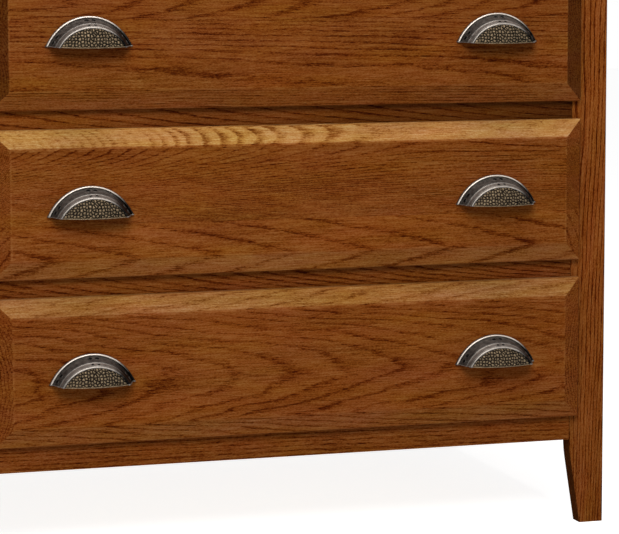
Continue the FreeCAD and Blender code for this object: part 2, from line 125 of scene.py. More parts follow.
class Sheet:
    """A node tree with short calls for the nodes that the finishes and the trees of shapes use."""

    NOISE_MEAN = 0.5

    def __init__(self, tree: bpy.types.NodeTree) -> None:
        """Keep the tree that the nodes go into."""
        self.tree = tree

    @classmethod
    def blank(cls, owner: bpy.types.Material | bpy.types.World) -> "Sheet":
        """Open the emptied node tree of a material or of the room.

        Args:
            owner: The material or the room.

        Returns:
            Its sheet.
        """
        owner.use_nodes = True
        owner.node_tree.nodes.clear()
        return cls(owner.node_tree)

    def add(self, kind: str, **settings: object) -> bpy.types.Node:
        """Add a node.

        Args:
            kind: Blender's name of the node type.
            **settings: Properties of the node.

        Returns:
            The new node.
        """
        node = self.tree.nodes.new(kind)
        for name, value in settings.items():
            setattr(node, name, value)
        return node

    def put(self, socket: Socket, term: Term) -> None:
        """Feed an input with another node's output, or set its own value.

        Args:
            socket: The input.
            term: An output to link, or a plain value.
        """
        if isinstance(term, bpy.types.NodeSocket):
            self.tree.links.new(term, socket)
        else:
            socket.default_value = term

    def place(self, kind: str, terms: dict[str, Term], **settings: object) -> bpy.types.Node:
        """Add a node and feed its named inputs.

        Args:
            kind: Blender's name of the node type.
            terms: What each input gets.
            **settings: Properties of the node.

        Returns:
            The new node.
        """
        node = self.add(kind, **settings)
        for name, term in terms.items():
            self.put(node.inputs[name], term)
        return node

    def group(self, tree: bpy.types.NodeTree, terms: dict[str, Term]) -> bpy.types.Node:
        """Place a shared effect with what each of its inputs gets."""
        return self.place("ShaderNodeGroup", terms, node_tree=tree)

    def reckon(self, kind: str, operation: str, terms: tuple[Term, ...]) -> Socket:
        """Add a node of arithmetic.

        Args:
            kind: Blender's name of the node type.
            operation: Blender's name of the operation.
            terms: What its inputs get, in order.

        Returns:
            The result.
        """
        node = self.add(kind, operation=operation)
        for socket, term in zip(node.inputs, terms):
            self.put(socket, term)
        return node.outputs[0]

    def math(self, operation: str, *terms: Term) -> Socket:
        """Work out a number from one or two numbers."""
        return self.reckon("ShaderNodeMath", operation, terms)

    def times(self, first: Term, second: Term) -> Socket:
        """Multiply two numbers."""
        return self.math("MULTIPLY", first, second)

    def line(self, first: Term, second: Term, start: Term) -> Socket:
        """Multiply two numbers and add a third."""
        return self.reckon("ShaderNodeMath", "MULTIPLY_ADD", (first, second, start))

    def vector(self, operation: str, *terms: Term) -> Socket:
        """Work out a vector from one or two vectors."""
        return self.reckon("ShaderNodeVectorMath", operation, terms)

    def combine(self, first: Term, second: Term, third: Term) -> Socket:
        """Make a vector of three numbers."""
        return self.place("ShaderNodeCombineXYZ", {"X": first, "Y": second, "Z": third}).outputs[0]

    def split(self, vector: Socket) -> tuple[Socket, Socket, Socket]:
        """Take a vector apart into its three numbers."""
        return tuple(self.place("ShaderNodeSeparateXYZ", {"Vector": vector}).outputs)

    def stretch(self, vector: Socket, length: Socket) -> Socket:
        """Multiply a vector or a colour by a number."""
        return self.vector("MULTIPLY", vector, self.combine(length, length, length))

    def ease(self, value: Term, ramp: Ramp) -> Socket:
        """Go smoothly from one number to another.

        Args:
            value: What is looked at.
            ramp: Where the change starts and ends, and the numbers there.

        Returns:
            The eased number.
        """
        terms = {
            "Value": value, "From Min": ramp.start, "From Max": ramp.end,
            "To Min": ramp.low, "To Max": ramp.high,
        }
        return self.place("ShaderNodeMapRange", terms, interpolation_type="SMOOTHSTEP").outputs[0]

    def noise(self, vector: Socket, pattern: Pattern) -> bpy.types.Node:
        """Lay a cloudy pattern.

        Args:
            vector: The place in the pattern.
            pattern: Its cells and its fineness.

        Returns:
            The node, with a number and a colour put out.
        """
        cells = self.vector("MULTIPLY", vector, tuple(1 / length for length in pattern.cell))
        terms = {"Vector": cells, "Scale": 1.0, "Detail": pattern.detail, "Roughness": pattern.roughness}
        return self.place("ShaderNodeTexNoise", terms)

    def swing(self, cloud: bpy.types.Node) -> Socket:
        """Give the number of a cloudy pattern as a swing about 0."""
        return self.math("SUBTRACT", cloud.outputs[0], self.NOISE_MEAN)

    def swings(self, cloud: bpy.types.Node) -> Socket:
        """Give the colour of a cloudy pattern as three swings about 0."""
        return self.vector("SUBTRACT", cloud.outputs[1], (self.NOISE_MEAN,) * 3)

    def tint(self, share: Term, first: Term, second: Term) -> Socket:
        """Mix two colours.

        Args:
            share: How much of the second colour.
            first: The colour under it.
            second: The colour over it.

        Returns:
            The mixed colour.
        """
        node = self.add("ShaderNodeMix", data_type="RGBA")
        named = {socket.identifier: socket for socket in node.inputs}
        self.put(named["Factor_Float"], share)
        self.put(named["A_Color"], first)
        self.put(named["B_Color"], second)
        return next(socket for socket in node.outputs if socket.identifier == "Result_Color")

    def varnish(self, effect: bpy.types.Node, bump: float, depth: float, values: dict[str, Term]) -> None:
        """End a material with the colour and the relief of an effect.

        Args:
            effect: The group that puts out Colour and Height.
            bump: Strength of the relief.
            depth: Depth of the relief in metres.
            values: What the surface's other inputs get.
        """
        relief = self.place("ShaderNodeBump", {
            "Height": effect.outputs["Height"], "Strength": bump, "Distance": depth,
        })
        terms = {"Base Color": effect.outputs["Colour"], "Normal": relief.outputs[0]}
        shader = self.place("ShaderNodeBsdfPrincipled", terms | values)
        self.place("ShaderNodeOutputMaterial", {"Surface": shader.outputs[0]})


class Effects:
    """The shader groups that the finishes share, each built once."""

    SEED_STEP = (37.0, 11.3, 7.7)

    # Patterns in a board, whose cells run along it, across it and into it in millimetres
    SLOW = Pattern((330.0, 60.0, 60.0))
    BEND = Pattern((100.0, 17.0, 17.0))
    FEATHER = Pattern((20.0, 1.3, 1.3), roughness=0.6)
    YEARS = Pattern((1.0, 1.0, 1.0), detail=1.0)
    DASHES = Pattern((7.0, 0.95, 0.95), roughness=0.6)
    STREAKS = Pattern((24.0, 1.15, 1.15), detail=3.0)
    FIBRES = Pattern((2.6, 1.0, 1.0), roughness=0.7)
    CLOUDS = Pattern((120.0, 26.0, 26.0), detail=3.0, roughness=0.6)

    # Growth rings
    SIDE_WANDER = 6.0
    RING_WANDER = 4.0
    YEAR_STEP = 0.35
    YEAR_SWING = 1.1
    FEATHER_SWING = 0.4
    RING_RISE = Ramp(0.0, 0.12)
    RING_FALL = Ramp(0.25, 1.0, 1.0, 0.0)

    # Pores, which are more open in early wood
    PORE_EDGE = Ramp(0.5, 0.68)
    LATE_PORES = 0.35
    EARLY_PORES = 0.65

    # Rubbed arrises, with cells in metres
    RUBS = Pattern((1 / 60.0, 1 / 60.0, 1 / 60.0), detail=3.0)
    NEAR_ARRIS = Ramp(0.0, 1.0)
    RUBBED = Ramp(0.3, 0.7)

    # Stain, from the darkest to the lightest level
    RING_BREAKS = Ramp(0.36, 0.6, 0.6, 1.0)
    RING_PATCHES = Ramp(-0.16, 0.14, 1.0, 0.5)
    BEVEL_CALM = -0.3
    MEAN_LEVEL = 0.5
    END_LEVEL = -0.2
    EDGE_LEVEL = 0.2
    STAIN_STEPS = (
        ("Early Colour", Ramp(-0.1, 0.25)), ("Late Colour", Ramp(0.15, 0.5)),
        ("Light Colour", Ramp(0.4, 0.85)),
    )
    RING_HOLLOW = 0.35
    HOLLOW_ROUGHNESS = 0.18

    # Metal, with the cells of its cast grain in metres
    MOTTLES = Pattern((1.0, 1.0, 1.0), detail=4.0, roughness=0.6)
    CAST_GRAIN = Pattern((1 / 2600.0, 1 / 2600.0, 1 / 2600.0), roughness=0.6)
    BRIGHT_EDGE = Ramp(0.0, 1.0)
    SPECK_SWING = 0.5
    WORN_ROUGHNESS = -0.12
    MOTTLE_ROUGHNESS = 0.25
    AGED_TINT = (0.95, 0.77, 0.52)

    def __init__(self) -> None:
        """Build the groups."""
        self.growth_rings = self._growth_rings()
        self.wood_pores = self._wood_pores()
        self.edge_wear = self._edge_wear()
        self.wood_stain = self._wood_stain()
        self.metal_patina = self._metal_patina()

    @staticmethod
    def _start(
        name: str, inputs: dict[str, str], outputs: dict[str, str]
    ) -> tuple[Sheet, dict[str, Socket], bpy.types.Node]:
        """Open a group with named inputs and outputs.

        Args:
            name: The group's name.
            inputs: Socket type of each input.
            outputs: Socket type of each output.

        Returns:
            The group's sheet, its inputs by name and its output node.
        """
        tree = bpy.data.node_groups.new(name, "ShaderNodeTree")
        for label, kind in inputs.items():
            tree.interface.new_socket(label, in_out="INPUT", socket_type=kind)
        for label, kind in outputs.items():
            tree.interface.new_socket(label, in_out="OUTPUT", socket_type=kind)
        sheet = Sheet(tree)
        entry = sheet.add("NodeGroupInput")
        given = {label: entry.outputs[label] for label in inputs}
        return sheet, given, sheet.add("NodeGroupOutput")

    @staticmethod
    def _end(sheet: Sheet, result: bpy.types.Node, terms: dict[str, Socket]) -> bpy.types.NodeTree:
        """Feed the outputs of a group.

        Args:
            sheet: The group's sheet.
            result: Its output node.
            terms: What each output gets.

        Returns:
            The finished group.
        """
        for label, term in terms.items():
            sheet.put(result.inputs[label], term)
        return sheet.tree

    def _seeded(self, sheet: Sheet, board: Socket, seed: Socket) -> Socket:
        """Move a board's place in the patterns by its seed."""
        shift = [sheet.times(seed, step) for step in self.SEED_STEP]
        return sheet.vector("ADD", board, sheet.combine(*shift))

    def _growth_rings(self) -> bpy.types.NodeTree:
        """Cut a board out of a tapering trunk: cones of dark early wood round a leaning pith.

        Returns:
            The group. Early is 1 in the dark part of a ring.
        """
        inputs = {"Board": VECTOR} | dict.fromkeys(TRUNK_INPUTS, NUMBER)
        sheet, given, result = self._start("growth_rings", inputs, {"Early": NUMBER})
        place = self._seeded(sheet, given["Board"], given["Seed"])
        along, across, depth = sheet.split(given["Board"])
        sway, lift, _ = sheet.split(sheet.swings(sheet.noise(place, self.SLOW)))
        bend = sheet.swing(sheet.noise(place, self.BEND))
        feather = sheet.swing(sheet.noise(place, self.FEATHER))
        side = sheet.math("SUBTRACT", across, given["Pith Across"])
        side = sheet.line(lift, sheet.times(given["Wander"], self.SIDE_WANDER), side)
        lean = sheet.line(given["Bow"], along, given["Tilt"])
        below = sheet.math("SUBTRACT", depth, sheet.line(lean, along, given["Pith Depth"]))
        radius = sheet.math("SQRT", sheet.line(side, side, sheet.times(below, below)))
        radius = sheet.line(sway, sheet.times(given["Wander"], self.RING_WANDER), radius)
        radius = sheet.line(bend, given["Ripple"], radius)
        count = sheet.math("ADD", sheet.math("DIVIDE", radius, given["Ring Width"]), given["Phase"])
        year = sheet.combine(sheet.line(count, self.YEAR_STEP, given["Seed"]), 0.0, 0.0)
        growth = sheet.swing(sheet.noise(year, self.YEARS))
        count = sheet.line(growth, self.YEAR_SWING, count)
        share = sheet.math("FRACT", sheet.line(feather, self.FEATHER_SWING, count))
        rise = sheet.ease(share, self.RING_RISE)
        fall = sheet.ease(sheet.math("DIVIDE", share, given["Early Share"]), self.RING_FALL)
        return self._end(sheet, result, {"Early": sheet.times(rise, fall)})

    def _wood_pores(self) -> bpy.types.NodeTree:
        """Lay open pores, thin streaks and slow clouds of tone along a board.

        Returns:
            The group. Streak, Fibre, Cloud and Hue are about 0 at their mean.
        """
        inputs = {"Board": VECTOR, "Early": NUMBER, "Seed": NUMBER}
        outputs = dict.fromkeys(PORE_MASKS, NUMBER) | {"Hue": VECTOR}
        sheet, given, result = self._start("wood_pores", inputs, outputs)
        place = self._seeded(sheet, given["Board"], given["Seed"])
        dash = sheet.noise(place, self.DASHES).outputs[0]
        open_share = sheet.line(given["Early"], self.EARLY_PORES, self.LATE_PORES)
        clouds = sheet.noise(place, self.CLOUDS)
        return self._end(sheet, result, {
            "Pores": sheet.times(sheet.ease(dash, self.PORE_EDGE), open_share),
            "Dash": dash,
            "Streak": sheet.swing(sheet.noise(place, self.STREAKS)),
            "Fibre": sheet.swing(sheet.noise(place, self.FIBRES)),
            "Cloud": sheet.swing(clouds),
            "Hue": sheet.swings(clouds),
        })

    def _edge_wear(self) -> bpy.types.NodeTree:
        """Find the arrises of a box-shaped piece, where a finish is rubbed.

        Returns:
            The group. Edge is 1 on an arris and 0 further away than Reach.
        """
        inputs = {"Point": VECTOR, "Low": VECTOR, "High": VECTOR, "Reach": NUMBER}
        sheet, given, result = self._start("edge_wear", inputs, {"Edge": NUMBER})
        under = sheet.vector("ABSOLUTE", sheet.vector("SUBTRACT", given["Point"], given["Low"]))
        over = sheet.vector("ABSOLUTE", sheet.vector("SUBTRACT", given["High"], given["Point"]))
        first, second, third = sheet.split(sheet.vector("MINIMUM", under, over))
        lesser = sheet.math("MINIMUM", first, second)
        greater = sheet.math("MAXIMUM", first, second)
        middle = sheet.math("MAXIMUM", lesser, sheet.math("MINIMUM", greater, third))
        near = sheet.math("SUBTRACT", 1.0, sheet.math("DIVIDE", middle, given["Reach"]))
        rubs = sheet.noise(given["Point"], self.RUBS).outputs[0]
        worn = sheet.times(sheet.ease(near, self.NEAR_ARRIS), sheet.ease(rubs, self.RUBBED))
        return self._end(sheet, result, {"Edge": worn})

    def _wood_stain(self) -> bpy.types.NodeTree:
        """Colour the rings, pores, streaks, end grain and worn arrises of a board, and give its long
        bevels a paler stain with a painted highlight and sheen.

        Returns:
            The group, with the colour, a roughness offset and the height of the surface.
        """
        masks = PORE_MASKS + ("Early", "End Grain", "Edge", "Bevel", "Tone", "Ring Strength")
        inputs = dict.fromkeys(masks + STAIN_STRENGTHS, NUMBER) | dict.fromkeys(STAIN_COLOURS, COLOUR)
        inputs |= {"Hue": VECTOR, "Hue Swing": VECTOR}
        outputs = {"Colour": COLOUR, "Roughness": NUMBER, "Height": NUMBER}
        sheet, given, result = self._start("wood_stain", inputs, outputs)
        strength = sheet.times(given["Ring Strength"], sheet.ease(given["Cloud"], self.RING_PATCHES))
        broken = sheet.ease(given["Dash"], self.RING_BREAKS)
        banding = sheet.times(sheet.times(given["Early"], strength), broken)
        grain = sheet.times(given["Streak"], given["Streak Strength"])
        grain = sheet.line(given["Fibre"], given["Fibre Strength"], grain)
        pitting = sheet.times(given["Pores"], given["Pore Strength"])
        calm = sheet.line(given["Bevel"], self.BEVEL_CALM, 1.0)
        grain = sheet.times(sheet.math("SUBTRACT", grain, pitting), calm)
        level = sheet.line(given["Cloud"], given["Cloud Strength"], self.MEAN_LEVEL)
        level = sheet.math("SUBTRACT", sheet.math("ADD", level, grain), banding)
        level = sheet.line(given["End Grain"], self.END_LEVEL, level)
        level = sheet.line(given["Edge"], self.EDGE_LEVEL, level)
        surface = given["Pore Colour"]
        for label, ramp in self.STAIN_STEPS:
            surface = sheet.tint(sheet.ease(level, ramp), surface, given[label])
        # Tone also carries a painted shadow on the sawn edges of a board with edge shade.
        surface = sheet.stretch(surface, given["Tone"])
        shift = sheet.vector("MULTIPLY", given["Hue"], given["Hue Swing"])
        surface = sheet.vector("MULTIPLY", surface, sheet.vector("ADD", shift, (1.0, 1.0, 1.0)))
        # Painted highlight and sheen: the long bevels take a lighter, much bluer colour that stands in
        # for the lamp above and its sheen, over a paler stain.
        bevelled = sheet.vector("MULTIPLY", surface, given["Bevel Tint"])
        hollow = sheet.line(given["Early"], self.RING_HOLLOW, given["Pores"])
        return self._end(sheet, result, {
            "Colour": sheet.tint(given["Bevel"], surface, bevelled),
            "Roughness": sheet.times(hollow, self.HOLLOW_ROUGHNESS),
            "Height": sheet.math("SUBTRACT", 1.0, hollow),
        })

    def _metal_patina(self) -> bpy.types.NodeTree:
        """Darken the hollows of a metal and rub its high places bright, and lighten it where a piece's
        wear carries a painted highlight.

        Returns:
            The group, with the colour, the roughness and the height of a cast grain.
        """
        inputs = {"Point": VECTOR} | dict.fromkeys(("Worn", "Aged") + METAL_VALUES, NUMBER)
        inputs |= dict.fromkeys(METAL_COLOURS, COLOUR)
        outputs = {"Colour": COLOUR, "Roughness": NUMBER, "Height": NUMBER}
        sheet, given, result = self._start("metal_patina", inputs, outputs)
        mottle = sheet.swing(sheet.noise(sheet.stretch(given["Point"], given["Cell"]), self.MOTTLES))
        grain = sheet.noise(given["Point"], self.CAST_GRAIN)
        worn = sheet.line(mottle, given["Mottle"], given["Worn"])
        surface = sheet.tint(sheet.ease(worn, self.BRIGHT_EDGE), given["Dark"], given["Bright"])
        surface = sheet.stretch(surface, sheet.line(sheet.swing(grain), self.SPECK_SWING, 1.0))
        aged = sheet.vector("MULTIPLY", surface, self.AGED_TINT)
        rough = sheet.line(worn, self.WORN_ROUGHNESS, given["Roughness"])
        return self._end(sheet, result, {
            "Colour": sheet.tint(given["Aged"], surface, aged),
            "Roughness": sheet.line(mottle, self.MOTTLE_ROUGHNESS, rough),
            "Height": grain.outputs[0],
        })


class Lay(Enum):
    """Which axes of the chest run along, across and into a board."""

    ALONG_FRONT = (0, 2, 1)
    UP_FRONT = (2, 0, 1)
    UP_SIDE = (2, 1, 0)
    ALONG_SIDE = (1, 2, 0)
    ALONG_TOP = (0, 1, 2)
    ACROSS_TOP = (1, 0, 2)


@dataclass(frozen=True)
class Stave:
    """One glued stave of a board and the trunk that it was sawn from, in millimetres.

    The pith's place is measured from the board's lower edge and front face, and a pith at a
    negative depth is in front of the face. Tilt and drift are how far the pith moves into the
    board and across it for each millimetre along the board, and bow is how its tilt changes.
    Fade is how the tone changes for each millimetre along, end shade is how much darker a bevel
    at the end is, edge shade is a painted shadow that darkens the sawn edges, and bevel is how much
    of a paler stain with a painted highlight and sheen its long bevels take. Figure is from where
    to where along the board the rings are clear, if they are faint elsewhere.
    """

    # Ranges that an ordinary stave is drawn from
    PITH_SHARES: ClassVar[Pair] = (-0.6, 1.6)
    PITH_DEPTHS: ClassVar[Pair] = (50.0, 160.0)
    PITH_SIDES: ClassVar[Pair] = (-1.0, 1.0)
    TILTS: ClassVar[Pair] = (0.008, 0.03)
    RING_WIDTHS: ClassVar[Pair] = (2.2, 3.4)
    DRIFTS: ClassVar[Pair] = (-0.012, 0.012)
    WANDERS: ClassVar[Pair] = (0.8, 1.6)
    RIPPLES: ClassVar[Pair] = (0.8, 1.8)
    SEEDS: ClassVar[Pair] = (0.0, 40.0)
    TONES: ClassVar[Pair] = (0.94, 1.06)
    top: float
    pith_across: float
    pith_depth: float
    tilt: float
    ring_width: float
    early_share: float = 0.38
    drift: float = 0.0
    bow: float = 0.0
    wander: float = 0.6
    ripple: float = 0.8
    phase: float = 0.0
    seed: float = 0.0
    tone: float = 1.0
    contrast: float = 1.0
    bevel: float = 0.0
    fade: float = 0.0
    end_shade: float = 0.0
    painted_edge_shadow: float = 0.0
    figure: Pair | None = None

    @classmethod
    def drawn(cls, seed: int, top: float, width: float) -> "Stave":
        """Pick a stave out of an ordinary oak trunk.

        Args:
            seed: Start of the draw.
            top: The stave's upper edge across the board.
            width: The stave's width.

        Returns:
            The stave.
        """
        draw = random.Random(seed)
        return cls(
            top=top,
            pith_across=top - width * draw.uniform(*cls.PITH_SHARES),
            pith_depth=draw.choice(cls.PITH_SIDES) * draw.uniform(*cls.PITH_DEPTHS),
            tilt=draw.choice(cls.PITH_SIDES) * draw.uniform(*cls.TILTS),
            ring_width=draw.uniform(*cls.RING_WIDTHS),
            drift=draw.uniform(*cls.DRIFTS),
            wander=draw.uniform(*cls.WANDERS),
            ripple=draw.uniform(*cls.RIPPLES),
            phase=draw.random(),
            seed=draw.uniform(*cls.SEEDS),
            tone=draw.uniform(*cls.TONES),
        )


@dataclass(frozen=True)
class WoodFinish:
    """Colours and strengths of a wood."""

    name: str
    light_colour: Colour
    late_colour: Colour
    early_colour: Colour
    pore_colour: Colour
    # Multiplier of the long bevels' colour: a paler stain with a painted highlight and sheen.
    bevel_tint: Colour
    hue_swing: Place
    ring_strength: float
    pore_strength: float
    streak_strength: float
    fibre_strength: float
    cloud_strength: float
    roughness: float
    specular: float
    grain_depth: float


@dataclass(frozen=True)
class MetalFinish:
    """Colours and sheen of a metal. Without its own wear it reads each piece's."""

    name: str
    dark: Colour
    bright: Colour
    metallic: float
    specular: float
    roughness: float
    mottle: float
    cell: float
    grain_depth: float
    worn: float | None


STAINED_OAK = WoodFinish(
    "stained_oak", stain(140, 88, 42), stain(119, 62, 19), stain(84, 32, 3), stain(56, 16, 1),
    # The bevels' multiplier lifts blue most: a painted sheen over a paler stain, lit as if from above.
    bevel_tint=(1.95, 3.35, 6.0, 1.0), hue_swing=(0.2, 0.45, 1.2),
    ring_strength=0.45, pore_strength=0.3, streak_strength=0.9, fibre_strength=0.9, cloud_strength=0.3,
    roughness=0.42, specular=0.015, grain_depth=0.00012,
)
INNER_WOOD = WoodFinish(
    "inner_wood", stain(206, 172, 124), stain(190, 154, 106), stain(162, 122, 76), stain(120, 86, 50),
    bevel_tint=WHITE, hue_swing=PALE_SWING,
    ring_strength=0.35, pore_strength=0.2, streak_strength=0.7, fibre_strength=0.5, cloud_strength=0.3,
    roughness=0.62, specular=0.15, grain_depth=0.00008,
)
DRAWER_MAPLE = WoodFinish(
    "drawer_maple", stain(224, 194, 150), stain(212, 180, 134), stain(188, 150, 102), stain(150, 112, 70),
    bevel_tint=WHITE, hue_swing=PALE_SWING,
    ring_strength=0.3, pore_strength=0.1, streak_strength=0.6, fibre_strength=0.4, cloud_strength=0.3,
    roughness=0.45, specular=0.2, grain_depth=0.00005,
)
DRAWER_PLYWOOD = WoodFinish(
    "drawer_plywood", stain(216, 186, 140), stain(204, 172, 126), stain(182, 146, 100),
    stain(150, 114, 74), bevel_tint=WHITE, hue_swing=PALE_SWING,
    ring_strength=0.32, pore_strength=0.15, streak_strength=0.6, fibre_strength=0.4, cloud_strength=0.3,
    roughness=0.5, specular=0.2, grain_depth=0.00005,
)
BACK_PLYWOOD = WoodFinish(
    "back_plywood", stain(158, 104, 54), stain(144, 90, 44), stain(112, 66, 30), stain(80, 44, 18),
    bevel_tint=WHITE, hue_swing=PALE_SWING,
    ring_strength=0.35, pore_strength=0.2, streak_strength=0.7, fibre_strength=0.5, cloud_strength=0.35,
    roughness=0.6, specular=0.1, grain_depth=0.00008,
)
PULL_PEWTER = MetalFinish(
    "pull_pewter", stain(11, 10, 9), stain(226, 214, 202),
    metallic=0.6, specular=0.06, roughness=0.46, mottle=0.3, cell=220.0, grain_depth=0.00004, worn=None,
)
SLIDE_STEEL = MetalFinish(
    "slide_steel", stain(128, 130, 132), stain(190, 192, 194),
    metallic=1.0, specular=0.5, roughness=0.38, mottle=0.8, cell=90.0, grain_depth=0.00002, worn=0.5,
)
SCREW_STEEL = MetalFinish(
    "screw_steel", stain(98, 96, 90), stain(196, 190, 170),
    metallic=1.0, specular=0.5, roughness=0.34, mottle=0.6, cell=300.0, grain_depth=0.00002, worn=0.6,
)


def looks_of(finish: WoodFinish | MetalFinish, labels: tuple[str, ...]) -> dict[str, Term]:
    """Read the fields of a finish that feed the inputs of these labels."""
    return {label: getattr(finish, field_of(label)) for label in labels}


def dress_node(node: str, material: bpy.types.Material) -> None:
    """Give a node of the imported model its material.

    Args:
        node: The node.
        material: Its only material.
    """
    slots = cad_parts[node].data.materials
    slots.clear()
    slots.append(material)


class BoardPaint:
    """What the staves of one board give to its material, place by place."""

    SLOPE = Ramp(0.3, 1.2)
    END_FACE = Ramp(0.15, 0.38)
    LONG_FACE = Ramp(0.15, 0.38, 1.0, 0.0)
    SAWN_EDGE = Ramp(0.5, 0.9)
    SAWN_ROUGHNESS = 0.58
    FIGURE_FADE = 45.0
    FAINT = -0.8

    def __init__(
        self, sheet: Sheet, lay: Lay, staves: tuple[Stave, ...], corners: tuple[Vector, Vector]
    ) -> None:
        """Find the place in the board in millimetres, the way that a face looks and the glue lines.

        Args:
            sheet: The material's sheet.
            lay: How the grain runs.
            staves: The staves that the board is glued up of, from the lowest up.
            corners: The board's lowest and highest corners.
        """
        low, high = corners
        along, across, _ = lay.value
        origin = Vector(low)
        origin[along] = (low[along] + high[along]) / 2
        self.sheet = sheet
        self.staves = staves
        self.point = sheet.add("ShaderNodeTexCoord").outputs["Object"]
        offset = sheet.vector("SUBTRACT", self.point, tuple(origin))
        parts = sheet.split(sheet.vector("MULTIPLY", offset, (1 / MILLIMETRE,) * 3))
        self.along, self.across, self.depth = (parts[axis] for axis in lay.value)
        facings = sheet.split(sheet.add("ShaderNodeNewGeometry").outputs["True Normal"])
        self.end_on = sheet.math("ABSOLUTE", facings[along])
        self.edge_facing = facings[across]
        self.steps = [sheet.math("GREATER_THAN", self.across, stave.top) for stave in staves[:-1]]

    def ladder(self, values: list[float]) -> Term:
        """Give each stave its own value.

        Args:
            values: The value of each stave, from the lowest up.

        Returns:
            A plain number, or the output that changes at the glue lines.
        """
        level: Term = values[0]
        for step, below, above in zip(self.steps, values, values[1:]):
            if above != below:
                level = self.sheet.line(step, above - below, level)
        return level

    def each(self, field: str) -> Term:
        """Give each stave the value of one of its fields."""
        return self.ladder([getattr(stave, field) for stave in self.staves])

    def has(self, field: str) -> bool:
        """Tell whether a field is set on any stave."""
        return any(getattr(stave, field) for stave in self.staves)

    def sheared(self) -> Socket:
        """Give the place along, across and into the board, moved across with the pith's drift."""
        drift = self.ladder([-stave.drift for stave in self.staves])
        return self.sheet.combine(self.along, self.sheet.line(self.along, drift, self.across), self.depth)

    def bevel(self) -> Term:
        """Mark the long bevels of a front, which take a paler stain with a painted highlight and sheen.

        Returns:
            0 on a plain board, or the output that is 1 where a bevel takes the full paler stain,
            painted highlight and sheen.
        """
        if not self.has("bevel"):
            return 0.0
        slope = self.sheet.times(self.sheet.ease(self.depth, self.SLOPE), self.each("bevel"))
        return self.sheet.times(slope, self.sheet.ease(self.end_on, self.LONG_FACE))

    def sawn(self) -> Socket:
        """Mark the sawn edges, which take a painted shadow and a rougher finish."""
        return self.sheet.ease(self.sheet.math("ABSOLUTE", self.edge_facing), self.SAWN_EDGE)

    def tone(self) -> Term:
        """Work out the tone: each stave's tone, changed along the board and darker on its end bevels,
        with a painted shadow on its sawn edges where a board has edge shade.

        Returns:
            A plain number, or the output that changes with the staves, their length and their ends,
            and with the painted shadow of their sawn edges.
        """
        sheet = self.sheet
        tone = self.each("tone")
        if self.has("fade"):
            tone = sheet.line(self.along, self.each("fade"), tone)
        if self.has("end_shade"):
            shade = sheet.times(sheet.ease(self.end_on, self.END_FACE), self.each("end_shade"))
            tone = sheet.math("SUBTRACT", tone, shade)
        # Painted shadow: the narrow sawn edges are darkened as if shade fell on them.
        if self.has("painted_edge_shadow"):
            shade = sheet.times(self.sawn(), self.each("painted_edge_shadow"))
            tone = sheet.times(tone, sheet.math("SUBTRACT", 1.0, shade))
        return tone

    def roughness(self, planed: float) -> Term:
        """Work out the roughness under the stain.

        Args:
            planed: Roughness of a planed face.

        Returns:
            The same number, or the output that is rougher on a sawn edge with painted shadow.
        """
        if not self.has("painted_edge_shadow"):
            return planed
        return self.sheet.line(self.sawn(), self.SAWN_ROUGHNESS, planed)

    def figure(self, strength: float) -> Term:
        """Work out how strong the rings are.

        Args:
            strength: Strength of the rings in the board's wood.

        Returns:
            A plain number, or the output that changes with the staves and outside a clear span.
        """
        sheet = self.sheet
        clear = self.ladder([strength * stave.contrast for stave in self.staves])
        spans = [stave.figure for stave in self.staves if stave.figure]
        if not spans:
            return clear
        first, last = spans[0]
        bounded = self.ladder([float(stave.figure is not None) for stave in self.staves])
        before = sheet.ease(self.along, Ramp(first - self.FIGURE_FADE, first, self.FAINT, 0.0))
        after = sheet.ease(self.along, Ramp(last, last + self.FIGURE_FADE, 0.0, self.FAINT))
        faint = sheet.times(sheet.math("ADD", before, after), bounded)
        return sheet.times(clear, sheet.math("ADD", faint, 1.0))


